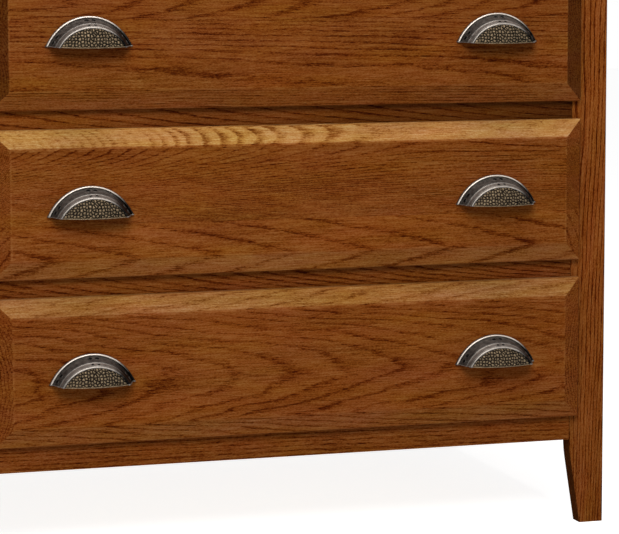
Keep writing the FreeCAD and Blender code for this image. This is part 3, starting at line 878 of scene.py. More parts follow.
class WoodShop:
    """Makes the material of each board out of the shared effects."""

    END_GRAIN = Ramp(0.15, 0.95)
    WEAR_REACH = 0.0022
    BUMP_STRENGTH = 0.35
    WIDEST_STAVE = 110.0

    def __init__(self, effects: Effects) -> None:
        """Keep the shared effects."""
        self.effects = effects

    def paint(
        self, sheet: Sheet, finish: WoodFinish, board: BoardPaint, wear_box: tuple[Vector, Vector]
    ) -> None:
        """Fill the material of one board.

        Args:
            sheet: The material's sheet.
            finish: The board's wood and stain.
            board: What its staves give.
            wear_box: Corners of the box whose arrises are rubbed.
        """
        place = board.sheared()
        trunk = {label: board.each(field_of(label)) for label in TRUNK_INPUTS}
        rings = sheet.group(self.effects.growth_rings, {"Board": place} | trunk)
        early = {"Early": rings.outputs["Early"]}
        pores = sheet.group(self.effects.wood_pores, {"Board": place, "Seed": trunk["Seed"]} | early)
        low, high = wear_box
        edge = sheet.group(self.effects.edge_wear, {
            "Point": board.point, "Low": tuple(low), "High": tuple(high), "Reach": self.WEAR_REACH,
        })
        masks = early | {output.name: output for output in pores.outputs} | {
            "End Grain": sheet.ease(board.end_on, self.END_GRAIN),
            "Edge": edge.outputs["Edge"],
            "Bevel": board.bevel(),
            "Tone": board.tone(),
            "Ring Strength": board.figure(finish.ring_strength),
        }
        looks = looks_of(finish, STAIN_COLOURS + STAIN_STRENGTHS + ("Hue Swing",))
        stained = sheet.group(self.effects.wood_stain, masks | looks)
        under = board.roughness(finish.roughness)
        sheet.varnish(stained, self.BUMP_STRENGTH, finish.grain_depth, {
            "Roughness": sheet.math("ADD", stained.outputs["Roughness"], under),
            "Specular IOR Level": finish.specular,
        })

    def dress(
        self, node: str, finish: WoodFinish, lay: Lay, staves: tuple[Stave, ...] = (), bevel: float = 0.0
    ) -> None:
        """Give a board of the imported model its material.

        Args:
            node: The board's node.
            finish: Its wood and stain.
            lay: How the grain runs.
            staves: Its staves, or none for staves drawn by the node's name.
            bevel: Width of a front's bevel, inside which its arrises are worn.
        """
        low, high = (Vector(corner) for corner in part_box(node))
        chosen = staves or self.glued_up(node, (high - low)[lay.value[1]] / MILLIMETRE)
        material = bpy.data.materials.new(f"{node}_{finish.name}")
        sheet = Sheet.blank(material)
        board = BoardPaint(sheet, lay, chosen, (low, high))
        inset = Vector((bevel, 0.0, bevel))
        self.paint(sheet, finish, board, (low + inset, high - inset))
        dress_node(node, material)
        log.info("%s: %s, %d staves", node, finish.name, len(chosen))

    def glued_up(self, name: str, width: float) -> tuple[Stave, ...]:
        """Glue a board up of staves of ordinary width.

        Args:
            name: The board's name, which starts the draw.
            width: The board's width in millimetres.

        Returns:
            The staves from the lowest up.
        """
        count = max(1, math.ceil(width / self.WIDEST_STAVE))
        step = width / count
        start = sum(ord(letter) * (place + 1) for place, letter in enumerate(name))
        return tuple(Stave.drawn(start + number, step * (number + 1), step) for number in range(count))


class MetalShop:
    """Makes the materials of the metal pieces."""

    BUMP_STRENGTH = 0.4

    def __init__(self, effects: Effects) -> None:
        """Keep the shared effects."""
        self.effects = effects

    def material(self, finish: MetalFinish) -> bpy.types.Material:
        """Make one metal.

        Args:
            finish: The metal's colours and sheen.

        Returns:
            The material.
        """
        material = bpy.data.materials.new(finish.name)
        sheet = Sheet.blank(material)
        worn: Term = finish.worn
        aged: Term = 0.0
        if finish.worn is None:
            worn = sheet.add("ShaderNodeAttribute", attribute_name="worn").outputs["Fac"]
            aged = sheet.add("ShaderNodeAttribute", attribute_name="aged").outputs["Fac"]
        point = sheet.add("ShaderNodeTexCoord").outputs["Object"]
        terms = {"Point": point, "Worn": worn, "Aged": aged}
        terms |= looks_of(finish, METAL_COLOURS + METAL_VALUES)
        patina = sheet.group(self.effects.metal_patina, terms)
        sheet.varnish(patina, self.BUMP_STRENGTH, finish.grain_depth, {
            "Roughness": patina.outputs["Roughness"],
            "Metallic": finish.metallic,
            "Specular IOR Level": finish.specular,
        })
        return material

    @staticmethod
    def dress(node: str, material: bpy.types.Material) -> None:
        """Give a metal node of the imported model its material."""
        dress_node(node, material)
        log.info("%s: %s", node, material.name)


class ShapeTree:
    """A Geometry Nodes tree with named inputs, and the plain mesh that it makes."""

    def __init__(self, name: str, inputs: dict[str, str]) -> None:
        """Open a tree.

        Args:
            name: The tree's name.
            inputs: Socket type of each input besides the geometry.
        """
        tree = bpy.data.node_groups.new(name, "GeometryNodeTree")
        tree.interface.new_socket("Geometry", in_out="INPUT", socket_type="NodeSocketGeometry")
        self.keys = {
            label: tree.interface.new_socket(label, in_out="INPUT", socket_type=kind).identifier
            for label, kind in inputs.items()
        }
        tree.interface.new_socket("Geometry", in_out="OUTPUT", socket_type="NodeSocketGeometry")
        self.sheet = Sheet(tree)
        entry = self.sheet.add("NodeGroupInput")
        self.given = {label: entry.outputs[label] for label in ("Geometry", *inputs)}
        self.result = self.sheet.add("NodeGroupOutput")

    def named(self, name: str, kind: str = "FLOAT") -> Socket:
        """Read an attribute of the mesh that goes in."""
        node = self.sheet.place("GeometryNodeInputNamedAttribute", {"Name": name}, data_type=kind)
        return node.outputs[0]

    def store(self, geometry: Socket, name: str, value: Term) -> Socket:
        """Write a number into an attribute of each point.

        Args:
            geometry: The mesh.
            name: The attribute's name.
            value: Its value.

        Returns:
            The mesh with the attribute.
        """
        node = self.sheet.place("GeometryNodeStoreNamedAttribute", {
            "Geometry": geometry, "Name": name, "Value": value,
        }, data_type="FLOAT", domain="POINT")
        return node.outputs[0]

    def scatter(self, label: str, size: str) -> Socket:
        """Put a copy of an object on each loose point, turned the way that the point faces.

        Args:
            label: The input that gives the object.
            size: The attribute that stretches each copy.

        Returns:
            The copies, not yet made real.
        """
        points = self.sheet.place("GeometryNodeMeshToPoints", {"Mesh": self.given["Geometry"]})
        shape = self.sheet.place("GeometryNodeObjectInfo", {"Object": self.given[label]})
        facing = self.named("facing", "FLOAT_VECTOR")
        turn = self.sheet.place("FunctionNodeAlignRotationToVector", {"Vector": facing}, axis="Z")
        copies = self.sheet.place("GeometryNodeInstanceOnPoints", {
            "Points": points.outputs[0], "Instance": shape.outputs["Geometry"],
            "Rotation": turn.outputs[0], "Scale": self.named(size, "FLOAT_VECTOR"),
        })
        return copies.outputs[0]

    def close(self, parts: list[Socket], material: Term) -> None:
        """End the tree with its parts joined, its instances made real and its material set.

        Args:
            parts: The geometry of each part.
            material: The material of all of them.
        """
        whole = self.sheet.add("GeometryNodeJoinGeometry")
        for part in parts:
            self.sheet.put(whole.inputs[0], part)
        real = self.sheet.place("GeometryNodeRealizeInstances", {"Geometry": whole.outputs[0]})
        dressed = self.sheet.place("GeometryNodeSetMaterial", {
            "Geometry": real.outputs[0], "Material": material,
        })
        self.sheet.put(self.result.inputs["Geometry"], dressed.outputs[0])

    def make(self, name: str, start: bpy.types.Mesh, values: dict[str, object]) -> bpy.types.Mesh:
        """Run the tree on a mesh.

        Args:
            name: Name of the mesh that comes out.
            start: The mesh that goes in.
            values: Value of each named input.

        Returns:
            The plain mesh.
        """
        carrier = mesh_object(f"{name}_start", start)
        modifier = carrier.modifiers.new(name, "NODES")
        modifier.node_group = self.sheet.tree
        for label, value in values.items():
            modifier[self.keys[label]] = value
        graph = bpy.context.evaluated_depsgraph_get()
        mesh = bpy.data.meshes.new_from_object(
            carrier.evaluated_get(graph), preserve_all_data_layers=True, depsgraph=graph
        )
        carrier.modifiers.remove(modifier)
        bpy.data.objects.remove(carrier)
        mesh.name = name
        return mesh


def mesh_object(name: str, mesh: bpy.types.Mesh) -> bpy.types.Object:
    """Put a mesh into the scene as a piece at the origin.

    Args:
        name: The piece's name.
        mesh: Its mesh.

    Returns:
        The piece.
    """
    piece = bpy.data.objects.new(name, mesh)
    bpy.context.scene.collection.objects.link(piece)
    return piece


def hand_over(name: str, mesh: bpy.types.Mesh, node: str, body: str) -> None:
    """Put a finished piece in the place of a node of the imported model.

    Args:
        name: The piece's name.
        mesh: Its mesh.
        node: The node that it stands for.
        body: The body that it moves with.
    """
    piece = mesh_object(name, mesh)
    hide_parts(node)
    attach(piece, body)


def mesh_from(name: str, shape: bmesh.types.BMesh, smooth: bool = True) -> bpy.types.Mesh:
    """Turn a shape into a mesh and let the shape go.

    Args:
        name: The mesh's name.
        shape: The shape.
        smooth: Whether its faces are shaded as one skin.

    Returns:
        The mesh.
    """
    mesh = bpy.data.meshes.new(name)
    shape.to_mesh(mesh)
    shape.free()
    mesh.polygons.foreach_set("use_smooth", [smooth] * len(mesh.polygons))
    return mesh


def loose_points(name: str, places: list[Vector], vectors: dict[str, list[Place]]) -> bpy.types.Mesh:
    """Make loose points that carry vectors.

    Args:
        name: The mesh's name.
        places: Where the points are.
        vectors: Name of each attribute, and its vector at each point.

    Returns:
        The points.
    """
    mesh = bpy.data.meshes.new(name)
    mesh.from_pydata(places, [], [])
    for label, rows in vectors.items():
        layer = mesh.attributes.new(label, "FLOAT_VECTOR", "POINT")
        layer.data.foreach_set("vector", [number for row in rows for number in row])
    return mesh


def lathe(name: str, profile: list[Pair], segments: int, wear: tuple[float, ...] = ()) -> bpy.types.Mesh:
    """Turn a profile round the vertical axis, closed on the axis where its radius is 0.

    Args:
        name: The mesh's name.
        profile: Radius and height of each ring, from the foot to the crown.
        segments: Sides of each ring.
        wear: How worn each ring is, if its finish reads that.

    Returns:
        The turned mesh.
    """
    shape = bmesh.new()
    layer = shape.verts.layers.float.new("worn")
    rings = []
    for row, (radius, height) in enumerate(profile):
        count = segments if radius > 0.0 else 1
        ring = []
        for number in range(count):
            angle = math.tau * number / count
            vertex = shape.verts.new((radius * math.cos(angle), radius * math.sin(angle), height))
            vertex[layer] = wear[row] if wear else 0.0
            ring.append(vertex)
        rings.append(ring)
    for lower, upper in zip(rings, rings[1:]):
        for number in range(segments):
            after = (number + 1) % segments
            if len(upper) == 1:
                shape.faces.new((lower[number], lower[after], upper[0]))
            elif len(lower) == 1:
                shape.faces.new((lower[0], upper[after], upper[number]))
            else:
                shape.faces.new((lower[number], lower[after], upper[after], upper[number]))
    return mesh_from(name, shape)


@dataclass(frozen=True)
class CupRow:
    """One arch of a cup: its share of the rim's height, its depth, its wear with any painted highlight,
    and if it is hammered.
    """

    share: float
    depth: float
    worn: float
    hammered: bool = False


@dataclass
class CupPull:
    """A cast cup pull: a rolled rim, a steep band, a raised ring and a hammered dome, open below."""

    MERGE_REACH: ClassVar[float] = 0.00002
    FACET_INPUTS: ClassVar[tuple[str, ...]] = (
        "Facet Pitch", "Facet Spread", "Facet Height", "Facet Wear", "Facet Slope", "Lip Radius",
    )
    # Arch, turn along it and size of each pit
    PITS: ClassVar[tuple[Place, ...]] = (
        (0.845, 0.042, 1.0), (0.845, 0.105, 1.0), (0.855, 0.462, 1.0), (0.855, 0.538, 1.0),
        (0.705, 0.463, 0.65), (0.705, 0.537, 0.65), (0.845, 0.895, 1.0), (0.845, 0.958, 1.0),
    )
    # Radius and height of a pit's rings as shares of its radius, and their wear
    PIT_PROFILE: ClassVar[tuple[Pair, ...]] = (
        (1.0, -0.2), (0.95, 0.12), (0.88, 0.13), (0.82, 0.06), (0.0, 0.04),
    )
    PIT_WEAR: ClassVar[tuple[float, ...]] = (0.1, 0.2, 0.1, -1.0, -1.0)
    metal: bpy.types.Material
    wall: float = 0.0018
    dip: float = 0.0014
    fullness: float = 0.58
    narrowing: tuple[Pair, ...] = ((0.0, 0.0), (0.59, 0.735), (0.665, 0.79), (0.93, 0.94), (1.0, 1.0))
    rim_middle: float = 0.962
    rim_half: float = 0.038
    rim_foot: float = 0.0012
    rim_height: float = 0.0026
    rim_wear: float = 0.1
    # Painted highlight: the rim's crown is made lighter, as if it caught the lamp above.
    rim_shine: float = 0.75
    band_start: float = 0.922
    band_foot: float = 0.0028
    band_wear: float = 0.2
    strip_start: float = 0.752
    strip_foot: float = 0.0158
    strip_set: float = 0.002
    strip_wear: float = 0.4
    strip_fade: float = 0.1
    band_end: float = 0.672
    band_top: float = 0.0216
    ring_middle: float = 0.632
    ring_half: float = 0.036
    ring_rise: float = 0.001
    ring_crown: float = 0.0013
    # Painted highlight on the crown of the raised ring.
    ring_shine: float = 0.28
    dome_start: float = 0.592
    dome_foot: float = 0.0226
    dome_spread: float = 0.9
    dome_wear: float = 0.02
    inner_wear: float = 0.05
    # Painted light and shade along each arch: the left end keeps most of its lightness and the right end
    # is darkened, as if lit from the upper left.
    left_end_light: float = 0.7
    left_fade: float = 0.3
    right_end_light: float = 0.06
    right_fade: Pair = (0.66, 0.93)
    facet_pitch: float = 0.0034
    facet_spread: float = 0.75
    facet_height: float = 0.0009
    facet_wear: float = 0.27
    facet_slope: float = 0.34
    lip_radius: float = 0.0006
    lip_wear: float = 0.28
    lip_sides: int = 8
    pit_radius: float = 0.0026
    pit_sides: int = 10
    pit_slip: float = 0.004
    columns: int = 132
    bead_steps: int = 8
    band_steps: int = 6
    dome_steps: int = 52

    def profile(self, projection: float) -> list[CupRow]:
        """Work out the section from the rim to the nose.

        Args:
            projection: How far the pull stands out.

        Returns:
            The arches, row by row.
        """
        rows = [CupRow(1.0, 0.0, self.band_wear)]
        for step in range(self.bead_steps + 1):
            angle = math.pi * step / self.bead_steps
            share = self.rim_middle + self.rim_half * math.cos(angle)
            crown = math.sin(angle)
            depth = self.rim_foot + self.rim_height * crown
            # Painted highlight: the rim's wear rises on its crown as if it caught the lamp above.
            rows.append(CupRow(share, depth, self.rim_wear + self.rim_shine * crown))
        for step in range(self.band_steps + 1):
            share = self.band_start + (self.strip_start - self.band_start) * step / self.band_steps
            rows.append(CupRow(share, self.band_depth(share), self.band_wear))
        for step in range(self.band_steps + 1):
            part = step / self.band_steps
            share = self.strip_start + (self.band_end - self.strip_start) * step / self.band_steps
            worn = self.strip_wear - self.strip_fade * part
            rows.append(CupRow(share - self.strip_set, self.band_depth(share), worn))
        for step in range(self.bead_steps + 1):
            part = step / self.bead_steps
            share = self.ring_middle + self.ring_half * math.cos(math.pi * part)
            crown = math.sin(math.pi * part)
            depth = self.band_top + self.ring_rise * part + self.ring_crown * crown
            # Painted highlight on the crown of the raised ring, over its wear.
            rows.append(CupRow(share, depth, self.band_wear + self.ring_shine * crown))
        nose = projection - self.facet_height
        for step in range(self.dome_steps + 1):
            share = self.dome_start * (1.0 - (step / self.dome_steps) ** self.dome_spread)
            swell = 1.0 - (share / self.dome_start) ** 2
            depth = self.dome_foot + (nose - self.dome_foot) * swell
            rows.append(CupRow(share, depth, self.dome_wear, step > 0))
        return rows

    def band_depth(self, share: float) -> float:
        """Give the depth of the band at one arch: a steep cove, then a flatter strip at its foot.

        Args:
            share: The arch's share of the rim's height.

        Returns:
            How far it stands out.
        """
        if share > self.strip_start:
            part = (self.band_start - share) / (self.band_start - self.strip_start)
            return self.band_foot + (self.strip_foot - self.band_foot) * part
        part = (self.strip_start - share) / (self.strip_start - self.band_end)
        return self.strip_foot + (self.band_top - self.strip_foot) * part

    def width_share(self, share: float) -> float:
        """Give an arch's width.

        Args:
            share: The arch's share of the rim's height.

        Returns:
            Its share of the rim's width.
        """
        for (low, narrow), (high, wide) in zip(self.narrowing, self.narrowing[1:]):
            if share <= high:
                return narrow + (wide - narrow) * (share - low) / (high - low)
        return 1.0

    def worn_and_lit(self, turn: float) -> float:
        """Give the share of the full wear along an arch, with painted light and shade in it: a painted
        highlight on top and painted shade towards the ends, deepest at the right end.

        Args:
            turn: Where along the arch, from 0 at the left end to 1 at the right end.

        Returns:
            The share.
        """
        start, end = self.right_fade
        left = smooth_step(turn / self.left_fade)
        right = smooth_step((end - turn) / (end - start))
        left_share = self.left_end_light + (1.0 - self.left_end_light) * left
        return left_share * (self.right_end_light + (1.0 - self.right_end_light) * right)

    def point(self, share: float, turn: float, depth: float, half: float, rise: float) -> Vector:
        """Find a point of the cup about the middle of its mouth, with the drawer front at depth 0.

        Args:
            share: Which arch, from 1 at the rim to 0 at the nose.
            turn: Where along the arch, from 0 at the left end to 1 at the right end.
            depth: How far the arch stands out.
            half: Half the pull's width.
            rise: The pull's height above its ends.

        Returns:
            The point.
        """
        back = 1.0 - turn
        handle = 3.0 * self.fullness * back * turn
        across = turn ** 3 + handle * turn - handle * back - back ** 3
        wide = self.width_share(share)
        end = -self.dip * (1.0 - wide * wide)
        return Vector((half * wide * across, -depth, end + (rise * share - end) * 4.0 * turn * back))

    def shell(self, half: float, rise: float, projection: float) -> bpy.types.Mesh:
        """Make the cup's outer skin, its inner skin and the edges that close them.

        Args:
            half: Half the pull's width.
            rise: Its height above its ends.
            projection: How far it stands out.

        Returns:
            The closed shell. Attributes mark its wear with its painted highlight and shade, its
            hammered face and its mouth's edge.
        """
        shape = bmesh.new()
        wear = shape.verts.layers.float.new("worn")
        age = shape.verts.layers.float.new("aged")
        hammer = shape.verts.layers.float.new("hammer")
        mouth = shape.edges.layers.bool.new("mouth")
        shrink = 1.0 - self.wall / half
        last = self.columns
        outer, inner = [], []
        for row in self.profile(projection):
            outer_row, inner_row = [], []
            hollow = max(0.0, row.depth - self.wall - self.ring_crown)
            for turn in (step / last for step in range(last + 1)):
                vertex = shape.verts.new(self.point(row.share, turn, row.depth, half, rise))
                # The wear layer also carries painted light: lighter on top of each arch, darker towards
                # its right end.
                vertex[wear] = row.worn * self.worn_and_lit(turn)
                vertex[age] = float(row.hammered)
                vertex[hammer] = float(row.hammered and 0.0 < turn < 1.0 and row.share > 0.0)
                outer_row.append(vertex)
                inside = self.point(row.share, turn, hollow, half * shrink, rise - self.wall)
                vertex = shape.verts.new(inside)
                vertex[wear] = self.inner_wear
                inner_row.append(vertex)
            outer.append(outer_row)
            inner.append(inner_row)
        for skin, lower_skin, under, lower_under in zip(outer, outer[1:], inner, inner[1:]):
            for step in range(last):
                after = step + 1
                shape.faces.new((skin[step], skin[after], lower_skin[after], lower_skin[step]))
                shape.faces.new((under[step], lower_under[step], lower_under[after], under[after]))
            for step in (0, last):
                shape.faces.new((skin[step], lower_skin[step], lower_under[step], under[step]))
                shape.edges.get((skin[step], lower_skin[step]))[mouth] = True
        for step in range(last):
            shape.faces.new((outer[0][step], inner[0][step], inner[0][step + 1], outer[0][step + 1]))
        bmesh.ops.remove_doubles(shape, verts=shape.verts, dist=self.MERGE_REACH)
        bmesh.ops.dissolve_degenerate(shape, edges=shape.edges, dist=self.MERGE_REACH)
        bmesh.ops.recalc_face_normals(shape, faces=shape.faces)
        return mesh_from("cup_shell", shape)

    def pits(self, half: float, rise: float) -> bpy.types.Mesh:
        """Set out the punched pits on the band, in pairs at its two ends and its top.

        Args:
            half: Half the pull's width.
            rise: The pull's height above its ends.

        Returns:
            Loose points, each with the way that its pit faces and the pit's size.
        """
        places, facings, sizes = [], [], []
        for share, turn, size in self.PITS:
            inner = share - self.pit_slip
            here = self.point(share, turn, self.band_depth(share), half, rise)
            ahead = self.point(share, turn + self.pit_slip, self.band_depth(share), half, rise) - here
            inward = self.point(inner, turn, self.band_depth(inner), half, rise) - here
            facing = ahead.cross(inward).normalized()
            places.append(here)
            facings.append(facing if facing.y < 0.0 else -facing)
            sizes.append((size, size, size))
        return loose_points("pit_places", places, {"facing": facings, "size": sizes})

    def tree(self) -> ShapeTree:
        """Build the tree that hammers the dome and rolls the mouth's lip.

        Returns:
            The tree.
        """
        tree = ShapeTree("hammered_cup", dict.fromkeys(self.FACET_INPUTS, NUMBER))
        sheet, given = tree.sheet, tree.given
        right, _, up = sheet.split(sheet.add("GeometryNodeInputPosition").outputs[0])
        cells = sheet.place("ShaderNodeTexVoronoi", {
            "Vector": sheet.combine(right, up, 0.0), "Randomness": given["Facet Spread"],
            "Scale": sheet.math("DIVIDE", 1.0, given["Facet Pitch"]),
        }, feature="DISTANCE_TO_EDGE", voronoi_dimensions="2D")
        level = sheet.ease(cells.outputs["Distance"], Ramp(0.0, given["Facet Slope"]))
        facet = sheet.times(level, tree.named("hammer"))
        # The wear layer that the facets add to also carries the arches' painted light and shade.
        worn_and_lit = sheet.line(facet, given["Facet Wear"], tree.named("worn"))
        lift = sheet.times(facet, given["Facet Height"])
        normal = sheet.add("GeometryNodeInputNormal").outputs[0]
        raised = sheet.place("GeometryNodeSetPosition", {
            "Geometry": tree.store(given["Geometry"], "worn", worn_and_lit),
            "Offset": sheet.stretch(normal, lift),
        })
        path = sheet.place("GeometryNodeMeshToCurve", {
            "Mesh": given["Geometry"], "Selection": tree.named("mouth", "BOOLEAN"),
        })
        ring = sheet.place("GeometryNodeCurvePrimitiveCircle", {
            "Resolution": self.lip_sides, "Radius": given["Lip Radius"],
        })
        tube = sheet.place("GeometryNodeCurveToMesh", {
            "Curve": path.outputs[0], "Profile Curve": ring.outputs[0], "Fill Caps": True,
        })
        lip = sheet.place("GeometryNodeSetShadeSmooth", {
            "Geometry": tree.store(tube.outputs[0], "worn", self.lip_wear),
        })
        tree.close([raised.outputs[0], lip.outputs[0]], self.metal)
        return tree

    def cast(self, half: float, rise: float, projection: float) -> bpy.types.Mesh:
        """Cast one pull with its pits.

        Args:
            half: Half the pull's width.
            rise: Its height above its ends.
            projection: How far it stands out.

        Returns:
            The pull about the middle of its mouth.
        """
        reach = self.pit_radius
        profile = [(radius * reach, height * reach) for radius, height in self.PIT_PROFILE]
        pit = mesh_object("pit", lathe("pit", profile, self.pit_sides, self.PIT_WEAR))
        punched = ShapeTree("band_pits", {"Pit": OBJECT})
        punched.close([punched.scatter("Pit", "size")], self.metal)
        sizes = {label: getattr(self, field_of(label)) for label in self.FACET_INPUTS}
        cup = self.tree().make("cup_pull", self.shell(half, rise, projection), sizes)
        pits = punched.make("cup_pits", self.pits(half, rise), {"Pit": pit})
        joined = bmesh.new()
        joined.from_mesh(cup)
        joined.from_mesh(pits)
        joined.to_mesh(cup)
        joined.free()
        bpy.data.objects.remove(pit)
        return cup

    def build(self) -> None:
        """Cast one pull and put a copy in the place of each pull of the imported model."""
        low, high = (Vector(corner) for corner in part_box("drawer_1_left_pull"))
        cup = self.cast((high.x - low.x) / 2, high.z - low.z - self.dip, high.y - low.y)
        for number in DRAWERS:
            for hand in HANDS:
                node = f"drawer_{number}_{hand}_pull"
                low, high = (Vector(corner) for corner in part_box(node))
                name = f"drawer_{number}_{hand}_cup"
                mesh = cup.copy()
                mesh.name = name
                place = Vector(((low.x + high.x) / 2, high.y, low.z + self.dip))
                mesh.transform(Matrix.Translation(place))
                hand_over(name, mesh, node, f"drawer_{number}")
                log.info("%s: %d faces", name, len(mesh.polygons))


@dataclass(frozen=True)
class ScrewPlace:
    """Where one screw sits: its head's seat, the way out of its head, and its two lengths."""

    seat: Vector
    facing: Vector
    head: float
    shank: float


@dataclass
class ScrewSet:
    """The screws of the chest, each with a domed head, a cross recess and a threaded shank."""

    MERGE_REACH: ClassVar[float] = 0.00001
    HEAD_SHARE: ClassVar[float] = 0.9
    metal: bpy.types.Material
    head_radius: float = 0.0039
    head_height: float = 0.0024
    crown: float = 0.0007
    wall_share: float = 0.6
    shoulder_share: float = 0.93
    crown_share: float = 0.6
    crown_drop: float = 0.25
    recess_reach: float = 0.0022
    recess_half: float = 0.00045
    recess_depth: float = 0.0011
    shank_radius: float = 0.002
    shank_length: float = 0.01
    thread_depth: float = 0.0004
    threads: int = 9
    head_sides: int = 14
    shank_sides: int = 7

    def head(self) -> bpy.types.Mesh:
        """Make a head standing on its seat, with a cross cut into its crown.

        Returns:
            The head.
        """
        radius, height = self.head_radius, self.head_height
        rim = height - self.crown
        blank = mesh_object("screw_blank", lathe("screw_blank", [
            (0.0, 0.0), (radius, 0.0), (radius, self.wall_share * rim),
            (self.shoulder_share * radius, rim),
            (self.crown_share * radius, height - self.crown_drop * self.crown), (0.0, height),
        ], self.head_sides))
        cutter = bmesh.new()
        sizes = Matrix.Diagonal((2 * self.recess_reach, 2 * self.recess_half, 2 * self.recess_depth, 1.0))
        for turn in (0.0, math.pi / 2):
            place = Matrix.Translation((0.0, 0.0, height)) @ Matrix.Rotation(turn, 4, "Z") @ sizes
            bmesh.ops.create_cube(cutter, size=1.0, matrix=place)
        tool = mesh_object("screw_cross", mesh_from("screw_cross", cutter, smooth=False))
        cut = blank.modifiers.new("recess", "BOOLEAN")
        cut.operation = "DIFFERENCE"
        cut.solver = "EXACT"
        cut.use_self = True
        cut.object = tool
        graph = bpy.context.evaluated_depsgraph_get()
        result = bpy.data.meshes.new_from_object(blank.evaluated_get(graph), depsgraph=graph)
        bpy.data.objects.remove(blank)
        bpy.data.objects.remove(tool)
        result.polygons.foreach_set("use_smooth", [False] * len(result.polygons))
        return result

    def shank(self) -> bpy.types.Mesh:
        """Make a shank hanging below its seat, with a thread and a blunt tip.

        Returns:
            The shank.
        """
        steps = 2 * self.threads
        rows = [(0.0, -self.shank_length)]
        for step in range(steps + 1):
            radius = self.shank_radius - self.thread_depth * (step % 2)
            rows.append((radius, -self.shank_length * (1.0 - (step + 0.5) / (steps + 1))))
        rows += [(self.shank_radius, 0.0), (0.0, 0.0)]
        return lathe("screw_shank", rows, self.shank_sides)

    def places(self, node: str) -> list[ScrewPlace]:
        """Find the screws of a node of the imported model.

        Args:
            node: The node that holds the screws.

        Returns:
            The place of each screw.
        """
        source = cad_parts[node]
        shape = bmesh.new()
        shape.from_mesh(source.data)
        shape.transform(source.matrix_world)
        bmesh.ops.remove_doubles(shape, verts=shape.verts, dist=self.MERGE_REACH)
        found = []
        left = set(shape.verts)
        while left:
            first = left.pop()
            island, front = [first], [first]
            while front:
                here = front.pop()
                near = {edge.other_vert(here) for edge in here.link_edges} & left
                left -= near
                island += near
                front += near
            found.append(self.placed([vertex.co.copy() for vertex in island]))
        shape.free()
        return found

    def placed(self, points: list[Vector]) -> ScrewPlace:
        """Work out where one screw sits.

        Args:
            points: The screw's points.

        Returns:
            Its place.
        """
        low = Vector([min(point[axis] for point in points) for axis in range(3)])
        high = Vector([max(point[axis] for point in points) for axis in range(3)])
        size = high - low
        axis = max(range(3), key=lambda number: size[number])
        middle = (low + high) / 2
        widest = max(size[number] for number in range(3) if number != axis) / 2
        wide = []
        for point in points:
            offset = point - middle
            offset[axis] = 0.0
            if offset.length > self.HEAD_SHARE * widest:
                wide.append(point[axis])
        out = 1.0 if max(wide) > middle[axis] else -1.0
        seat = Vector(middle)
        seat[axis] = min(wide) if out > 0.0 else max(wide)
        facing = Vector((0.0, 0.0, 0.0))
        facing[axis] = out
        head = max(wide) - min(wide)
        return ScrewPlace(seat, facing, head, size[axis] - head)

    def build(self, owners: dict[str, str]) -> None:
        """Drive the screws of each node.

        Args:
            owners: The body that each node of screws moves with.
        """
        head = mesh_object("screw_head", self.head())
        shank = mesh_object("screw_shank", self.shank())
        tree = ShapeTree("driven_screws", {"Head": OBJECT, "Shank": OBJECT})
        tree.close([tree.scatter("Head", "head"), tree.scatter("Shank", "shank")], self.metal)
        for node, body in owners.items():
            places = self.places(node)
            start = loose_points(f"{node}_places", [place.seat for place in places], {
                "facing": [place.facing for place in places],
                "head": [(1.0, 1.0, place.head / self.head_height) for place in places],
                "shank": [(1.0, 1.0, place.shank / self.shank_length) for place in places],
            })
            name = f"{node}_driven"
            mesh = tree.make(name, start, {"Head": head, "Shank": shank})
            hand_over(name, mesh, node, body)
            log.info("%s: %d screws, %d faces", node, len(places), len(mesh.polygons))
        bpy.data.objects.remove(head)
        bpy.data.objects.remove(shank)


